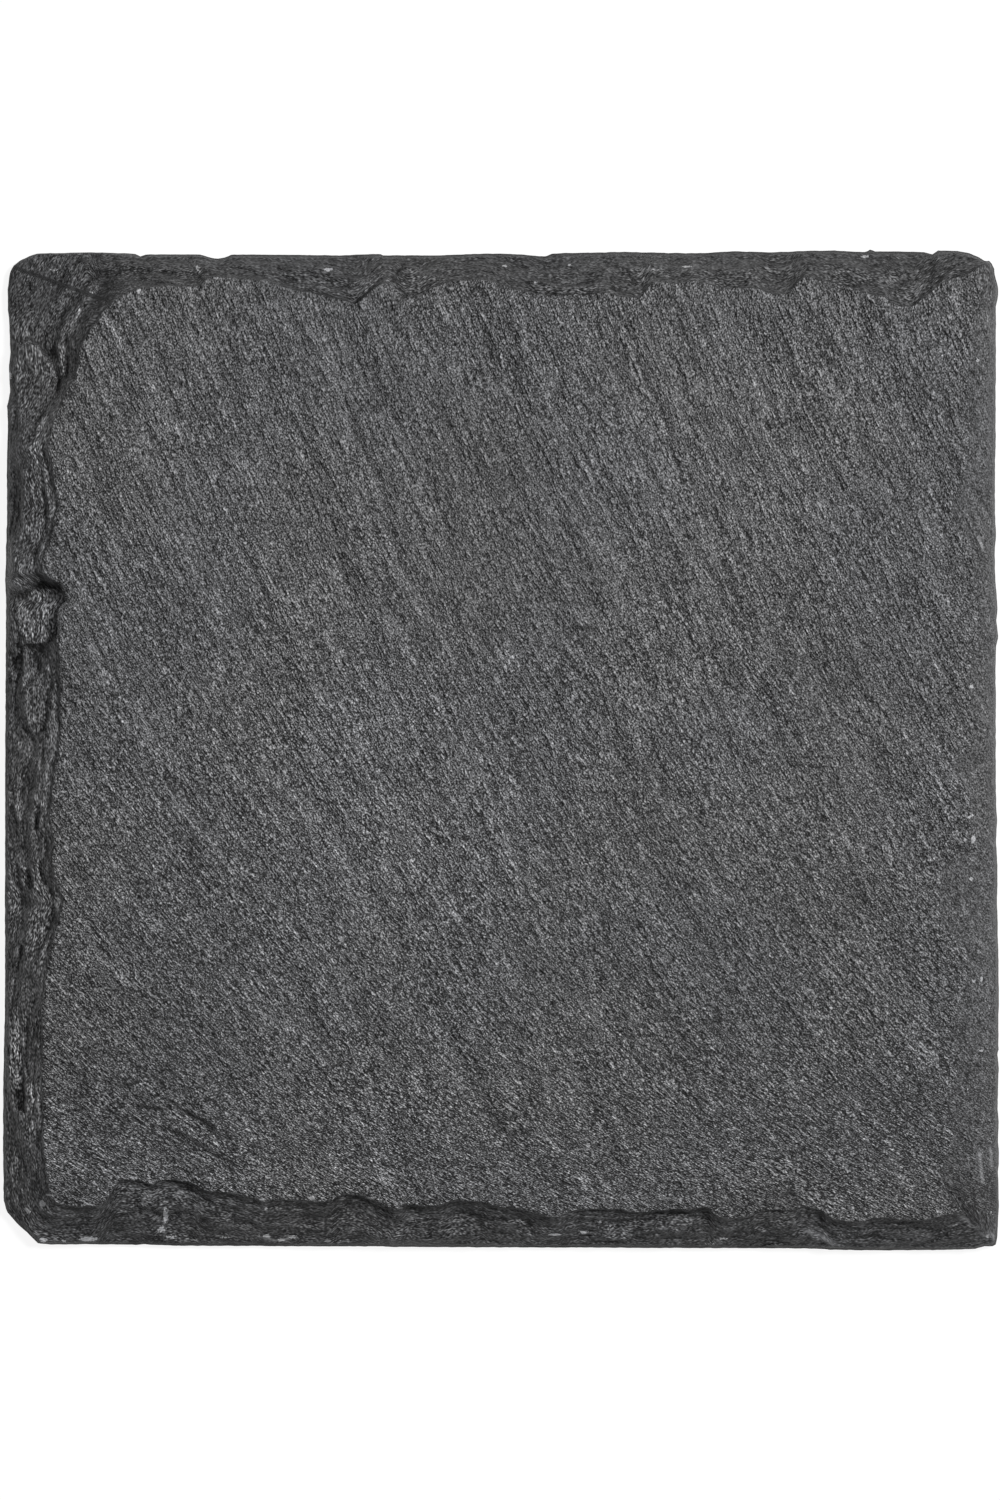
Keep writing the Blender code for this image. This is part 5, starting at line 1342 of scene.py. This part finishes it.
    # colour
    patches = n.noise(n.scaled(place, 1 / 19.0, 1 / 19.0, 1 / 9.0), 1.0, 2.0, 0.5)
    bands = n.noise(n.scaled(drifts, 1 / 16.0, 1 / 1.8, 1 / 3.0), 1.0, 2.0, 0.55)
    grains = n.noise(n.scaled(n.moved(along, 3.7, 5.1, 0), 1 / 0.60, 1 / 0.28, 1 / 0.4), 1.0, 1.0, 0.65)
    dust = n.noise(n.scaled(n.moved(along, 8.8, 0.4, 0), 1 / 0.17, 1 / 0.14, 1 / 0.18), 1.0, 0.0)
    tone = n.mad(facing, -0.035, n.mad(patches, 0.18, 1.0))
    # painted shade: the face darkens slowly towards the south edge, where the light falls off
    shade_line = n.add(low.outputs["Y"], n.mul(patches, 40.0))
    tone = n.math("SUBTRACT", tone, n.ramp(shade_line, 5.0, -45.0, -0.02, 0.15))
    tone = n.add(tone, n.mul(bands, 0.28))
    for dx, dy, rx, ry, gain in (
        (12.0, 8.0, 15.0, 24.0, 0.15), (-21.0, -32.0, 22.0, 22.0, 0.15), (20.0, -21.0, 18.0, 18.0, 0.13),
        (-23.0, 22.0, 18.0, 20.0, -0.10), (36.0, 31.0, 12.0, 12.0, -0.12), (-38.0, 40.0, 14.0, 10.0, -0.13),
        (0.0, 40.0, 10.0, 8.0, -0.05), (-19.0, -16.0, 11.0, 16.0, 0.07),
    ):
        spot = n.new("ShaderNodeVectorMath", operation="LENGTH")
        n.put(spot.inputs[0], n.scaled(n.moved(place, dx, dy, 0), 1 / rx, 1 / ry, 0.0))
        tone = n.mad(n.ramp(spot.outputs["Value"], 1.2, 0.0), gain, tone)
    small = n.add(n.mul(grains, 2.3), n.mul(dust, 5.7))
    small = n.add(small, n.mul(g1, 1.0))
    small = n.add(small, n.mul(lump, n.mad(rugged, 1.3, 0.5)))
    small = n.add(small, n.mul(streak, n.mad(smooth_side, 1.4, 0.7)))
    small = n.add(small, n.mul(dash, 0.42))
    small = n.add(small, n.mul(thread, n.mad(rugged, 0.12, 0.50)))
    # pits and pale grains, few and small
    pit = n.ramp(n.noise(n.scaled(n.moved(place, 31.0, 3.0, 0), 1 / 1.0, 1 / 0.42, 1 / 0.5), 1.0, 1.0, 0.5), 0.15, 0.27)
    pale = n.ramp(n.noise(n.scaled(n.moved(along, 3.0, 47.0, 0), 1 / 0.5, 1 / 0.4, 1 / 0.4), 1.0, 0.0), 0.22, 0.33)
    small = n.add(small, n.mul(pale, 0.35))
    small = n.math("SUBTRACT", small, n.mul(pit, 1.0))
    small = n.mul(n.mul(small, coarse), n.mad(broken, 0.10, 1.0))
    small = n.mul(small, n.mad(patches, -0.7, n.mad(rugged, 0.34, 0.97)))
    southern = n.mul(n.ramp(low.outputs["Y"], -24.0, -44.0), facing)
    small = n.mul(small, n.mad(southern, 0.38, 1.0))
    tone = n.mul(tone, n.mad(southern, -0.05, 1.0))
    small = n.add(small, n.mul(n.mul(l1, broken), 0.60))
    small = n.add(small, n.mul(n.mul(n.mul(l2, coarse), broken), 2.3))
    small = n.add(small, n.mul(n.mul(dust, broken), 1.4))
    south = n.mul(n.ramp(low.outputs["Y"], -42.0, -44.0), broken)
    small = n.mul(small, n.mad(south, -0.06, 1.0))
    small = n.mul(small, n.mad(n.mul(n.ramp(low.outputs["Y"], 42.0, 45.0), broken), -0.04, 1.0))
    tone = n.mul(tone, n.math("POWER", n.math("MAXIMUM", n.mad(small, 0.4545, 1.0), 0.3), 2.2))
    # broken ground is a little darker than the split face, partly its own colour and partly painted shade; steep scars
    # get more painted shade, and the sides get painted shade on the north and east and painted light on the west
    north = n.mul(n.ramp(low.outputs["Y"], 42.0, 45.0), broken)
    west = n.mul(n.ramp(low.outputs["X"], -42.0, -44.0), broken)
    tone = n.mul(tone, n.mad(broken, -0.17, 1.0))
    tone = n.mul(tone, n.mad(north, -0.12, n.mad(west, 0.08, 1.0)))
    tone = n.mul(tone, n.mad(n.mul(steep, n.mad(east, -0.8, 1.0)), -0.18, 1.0))
    tone = n.mul(tone, n.mad(east, -0.13, 1.0))
    # ridges are rubbed pale by wear; hollows get painted shade, most on broken ground
    patchy = n.ramp(n.noise(n.scaled(place, 1 / 1.1, 1 / 1.1, 1 / 1.1), 1.0, 1.0, 0.6), -0.08, 0.16)
    tone = n.add(tone, n.mul(n.mul(ridge, patchy), n.mad(broken, 0.30, 0.05)))
    tone = n.mul(tone, n.mad(n.mul(hollow, n.mad(broken, 0.7, 0.3)), -0.30, 1.0))
    # painted light and shade of the broken edge, partly wear: walls, ledges, scars, the bands under the crest, the
    # rim's foot
    tone = n.mul(tone, n.math("EXPONENT", painted_shading_and_wear))
    # painted shade on the step risers and in the cracks
    tone = n.mul(tone, n.mad(riser_crack_shade, -0.70, 1.0))
    # painted shade along the creases at the foot of the lifted leaves
    bent = n.math("ABSOLUTE", n.mad(g2, 0.5, n.attribute("crease").outputs["Fac"]))
    crease = n.mul(n.ramp(bent, 0.34, 0.08), n.attribute("deep").outputs["Fac"])
    tone = n.mul(tone, n.mad(crease, -0.80, 1.0))
    # freshly chipped spots, and the crest where it is rubbed
    ragged_spot = n.noise(n.scaled(n.moved(place, 5.0, 5.0, 0), 1 / 0.22, 1 / 0.22, 0.0), 1.0, 1.0, 0.6)
    tone = n.mad(n.ramp(n.mad(ragged_spot, 1.3, speck), 0.34, 0.50), 4.0, tone)
    tone = n.mad(n.attribute("scratch").outputs["Fac"], 4.2, tone)
    nearest = 9.0
    for sx, sy, rx, ry in FACE_SPECKS:
        spot = n.new("ShaderNodeVectorMath", operation="MULTIPLY_ADD")
        n.put(spot.inputs[0], place)
        spot.inputs[1].default_value = (1 / rx, 1 / ry, 0.2)
        spot.inputs[2].default_value = (-sx / rx, -sy / ry, -1.0)
        far = n.new("ShaderNodeVectorMath", operation="LENGTH")
        n.put(far.inputs[0], spot.outputs[0])
        nearest = n.math("MINIMUM", far.outputs["Value"], nearest)
    tone = n.mad(n.ramp(n.mad(ragged_spot, 1.8, nearest), 1.30, 1.00), 3.2, tone)
    crest = n.mul(n.ramp(inside, 0.50, 0.12), n.ramp(notched, -0.05, 0.01))
    worn = n.ramp(n.noise(n.scaled(n.moved(place, 71.0, 2.0, 0), 1 / 0.75, 1 / 0.45, 0.0), 1.0, 1.0, 0.7), 0.06, 0.20)
    worn = n.mul(n.mul(worn, crest), n.ramp(low.outputs["Y"], -38.0, -43.0, 0.30, 1.0))
    tone = n.mad(worn, 1.5, tone)
    tone = n.math("MAXIMUM", tone, 0.12)

    tint = n.noise(n.scaled(n.moved(place, 40, 3, 0), 1 / 13.0, 1 / 13.0, 1 / 7.0), 1.0, 0.0)
    mix = n.new("ShaderNodeMix", data_type="RGBA", blend_type="MIX", clamp_factor=True)
    n.put(mix.inputs["Factor"], n.ramp(tint, -0.2, 0.2))
    put_color(mix, "A", (0.0862, 0.0865, 0.0883, 1.0))
    put_color(mix, "B", (0.0852, 0.0862, 0.0895, 1.0))
    shade = n.new("ShaderNodeVectorMath", operation="SCALE")
    n.put(shade.inputs[0], mix.outputs[2])
    n.put(shade.inputs["Scale"], tone)
    n.put(shader.inputs["Base Color"], shade.outputs[0])

    rough = n.add(n.mad(grains, -0.20, 0.68), n.mul(bands, 0.10))
    n.put(shader.inputs["Roughness"], n.math("MINIMUM", rough, 0.95))
    shader.inputs["IOR"].default_value = 1.5
    shader.inputs["Specular IOR Level"].default_value = 0.4
    shader.inputs["Metallic"].default_value = 0.0
    return material


# ---------------------------------------------------------------- the slab


def make_slab():
    xyz, quads, tris, info = build()
    mesh = write_mesh("slate_stone", xyz, quads, tris, (info["count"], info["count"] + info["total"]))
    x, y, z = xyz[:, 0] + info["middle"][0], xyz[:, 1] + info["middle"][1], xyz[:, 2]
    count, total = info["count"], info["total"]

    rings = info["rings"]
    on_bevel = np.zeros(len(xyz))
    on_bevel[count : count + total * rings] = smooth((info["offset"] - 0.04) / 0.05)
    on_bevel[count + total * (rings - 1) : info["base"]] = 0.4
    normal = np.empty(len(xyz) * 3, np.float32)
    mesh.vertices.foreach_get("normal", normal)
    normal = normal.reshape(-1, 3)

    bend, degree, links = bends(mesh, xyz)
    wide = spread(bend, links, degree, 3)
    tilt = spread(np.abs(normal[:, 2]), links, degree, 2)
    s, t = grain(x, y)
    below = np.zeros(len(xyz))
    below[info["base"] :] = 60.0
    store(mesh, "grain", np.stack([s + below, t + below, z], 1))
    s, t = drift(x, y)
    store(mesh, "drift", np.stack([s + below, t + below, z], 1))
    store(mesh, "place", np.stack([x, y, z + below], 1))
    store(mesh, "bevel", on_bevel)
    store(mesh, "steep", on_bevel * smooth((0.93 - tilt) / 0.28))
    store(mesh, "scar", info["scar"] * on_bevel)
    store(mesh, "east", info["east"])
    store(mesh, "ridge", smooth(wide / 0.026))
    store(mesh, "hollow", smooth(-wide / 0.030))
    store(mesh, "riser_crack_shade", info["dark"])
    store(mesh, "inside", info["inside"])
    off = np.concatenate([np.zeros(count), info["offset"], np.zeros(len(xyz) - info["base"])])
    run = info["run"] + 300.0
    corner = smooth((-39.5 - x) / 2.0) * smooth((y - 35.0) / 9.0)
    slant, across = 0.5 * x + 0.86 * y, 0.5 * y - 0.86 * x
    west_end = info["run"].max() + 300.0
    slant = slant + np.where(info["run"] > 100, west_end - 6.0 - (-23.0 + 35.4), 306.0 - (-20.0 + 40.8))
    store(mesh, "edge", np.stack([(run + corner * (slant - run)) / 1.8, 1.1 * (off + corner * (across - 57.0 - off)), z], 1))
    painted_shading_and_wear = np.zeros(len(xyz))
    upper = slice(0, info["base"])
    painted_shading_and_wear[upper] = ledge_scar_shading_and_wear(x[upper], y[upper])
    # painted light and shade under the crest, side by side: painted shade on the south, north and east, and mostly
    # painted light on the west, where the walls fall into shadow; how far it reaches differs from side to side
    under = -np.minimum(info["inside"], 0)
    south = smooth((-42.0 - y) / 1.5)
    ring = (under > 0) * (z > 0.05)
    painted_shading_and_wear += ring * south * np.interp(under, (0.0, 0.06, 0.5, 0.8, 1.1, 1.5, 2.0, 4.0), (0, -0.30, -0.26, -0.05, -0.15, -0.26, -0.40, -0.32))
    western = smooth((-42.0 - x) / 1.5) * smooth((44.0 - np.abs(y)) / 2.0)
    painted_shading_and_wear += ring * western * np.interp(under, (0.0, 0.2, 0.45, 1.0, 1.5, 2.0), (0, -0.08, 0.20, 0.14, 0.06, -0.07))
    painted_shading_and_wear -= ring * info["east"] * np.interp(under, (0.0, 2.0, 3.0), (0.04, 0.06, 0.15))
    north = smooth((y - 43.0) / 1.5)
    painted_shading_and_wear += ring * north * np.interp(under, (0.0, 0.06, 0.4, 1.0, 4.0), (0, -0.25, -0.20, -0.15, -0.22))
    # painted shade along the foot of the rim, stronger on the south
    rim_foot_shade = smooth((0.32 - np.maximum(info["to_rim"], 0)) / 0.18) * (z > 0.05)
    painted_shading_and_wear -= rim_foot_shade * np.where(y < -45, 1.25, 0.85)
    store(mesh, "painted_shading_and_wear", painted_shading_and_wear)
    speck, scratch = np.zeros(len(xyz)), np.zeros(len(xyz))
    for sx, sy, rx, ry, strength in SPECKS:
        d = np.hypot((x - sx) / rx, (y - sy) / ry)
        speck = np.maximum(speck, strength * np.clip(1.6 - d, 0.0, 1.0) * smooth((z - 0.5) / 0.25))
    for points, half, strength in SCRATCHES:
        d, along, run = to_line(x, y, points)
        ends = smooth((along + 0.2) / 0.5) * smooth((run + 0.2 - along) / 0.5)
        scratch = np.maximum(scratch, strength * ends * np.exp(-((d / (half + 0.06)) ** 2)) * smooth((z - 0.5) / 0.25))
    store(mesh, "speck", speck)
    # the face mesh is wider than a crease, so it carries the distance to the nearest one
    crease, deep = np.full(len(xyz), 3.0), np.zeros(len(xyz))
    for points, strength in CREASES:
        d, along, run = to_line(x, y, points)
        ends = smooth((along + 0.1) / 0.9) * smooth((run + 0.1 - along) / 0.9)
        closer = (np.abs(d) < np.abs(crease)) & (z > 0.2) & (ends > 0)
        crease = np.where(closer, d, crease)
        deep = np.where(closer, strength * ends * smooth((1.1 - np.abs(d)) / 0.3), deep)
    store(mesh, "crease", crease)
    store(mesh, "deep", deep)
    store(mesh, "scratch", scratch)

    # one map: the split face and the bevel from above, and beside them the underside and the broken wall
    corner = np.empty(len(mesh.loops), np.int32)
    mesh.loops.foreach_get("vertex_index", corner)
    place = np.arange(len(corner))
    strip = place - info["quads"] * 4
    upper = (place < info["upper_quads"] * 4) | ((strip >= 0) & (strip < info["lip_tris"] * 3))
    u = (xyz[corner, 0] + 50.2) / 100.4
    v = (xyz[corner, 1] + 50.2) / 100.4
    v = np.where(upper, 0.255 + 0.742 * v, 0.003 + 0.242 * v)
    layer = mesh.uv_layers.new(name="OFBake")
    layer.data.foreach_set("uv", np.stack([u, v], 1).astype(np.float32).ravel())

    slab = bpy.data.objects.new("slate_stone", mesh)
    bpy.context.scene.collection.objects.link(slab)
    slab.data.materials.append(slate())
    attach(slab, "root")
    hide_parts("slate_slab")
    return slab


# ---------------------------------------------------------------- floor, light, camera


def make_floor():
    mesh = bpy.data.meshes.new("floor")
    half, z = 1.6, -0.00002
    mesh.from_pydata([(-half, -half, z), (half, -half, z), (half, half, z), (-half, half, z)], [], [(0, 1, 2, 3)])
    floor = bpy.data.objects.new("floor", mesh)
    bpy.context.scene.collection.objects.link(floor)
    material = bpy.data.materials.new("pale_floor")
    material.use_nodes = True
    shader = material.node_tree.nodes["Principled BSDF"]
    shader.inputs["Base Color"].default_value = (0.16, 0.16, 0.16, 1.0)
    shader.inputs["Roughness"].default_value = 0.9
    shader.inputs["Specular IOR Level"].default_value = 0.1
    # lit from behind, like the acrylic of a light table, so that the floor stays nearly white
    shader.inputs["Emission Color"].default_value = (1.0, 1.0, 1.0, 1.0)
    shader.inputs["Emission Strength"].default_value = 0.88
    mesh.materials.append(material)


def look_at(obj, target):
    import mathutils

    direction = mathutils.Vector(target) - obj.location
    obj.rotation_euler = direction.to_track_quat("-Z", "Y").to_euler()


def area_light(name, azimuth, elevation, distance, size, power):
    """Azimuth in degrees north of east."""
    data = bpy.data.lights.new(name, "AREA")
    data.shape = "DISK"
    data.size = size
    data.energy = power
    light = bpy.data.objects.new(name, data)
    a, e = math.radians(azimuth), math.radians(elevation)
    light.location = (
        distance * math.cos(e) * math.cos(a),
        distance * math.cos(e) * math.sin(a),
        distance * math.sin(e),
    )
    look_at(light, (0, 0, 0))
    bpy.context.scene.collection.objects.link(light)
    return light


def make_light():
    world = bpy.data.worlds.new("studio")
    world.use_nodes = True
    world.node_tree.nodes["Background"].inputs["Color"].default_value = (1.0, 1.0, 1.0, 1.0)
    world.node_tree.nodes["Background"].inputs["Strength"].default_value = 0.24
    bpy.context.scene.world = world
    area_light("key", 28.0, 50.0, 1.5, 0.35, 20.8)


def make_camera():
    lens = 180.0
    data = bpy.data.cameras.new("camera")
    data.lens = lens
    data.sensor_fit = "AUTO"
    data.sensor_width = 36.0
    data.clip_start = 0.01
    data.clip_end = 10.0
    camera = bpy.data.objects.new("camera", data)
    camera.location = (-0.0001, 0.0, 0.150 * lens / 36.0)
    camera.rotation_euler = (0.0, 0.0, 0.0)
    bpy.context.scene.collection.objects.link(camera)
    bpy.context.scene.camera = camera


make_slab()
make_floor()
make_light()
make_camera()

bpy.context.scene.view_settings.view_transform = "Standard"
bpy.context.scene.view_settings.look = "None"
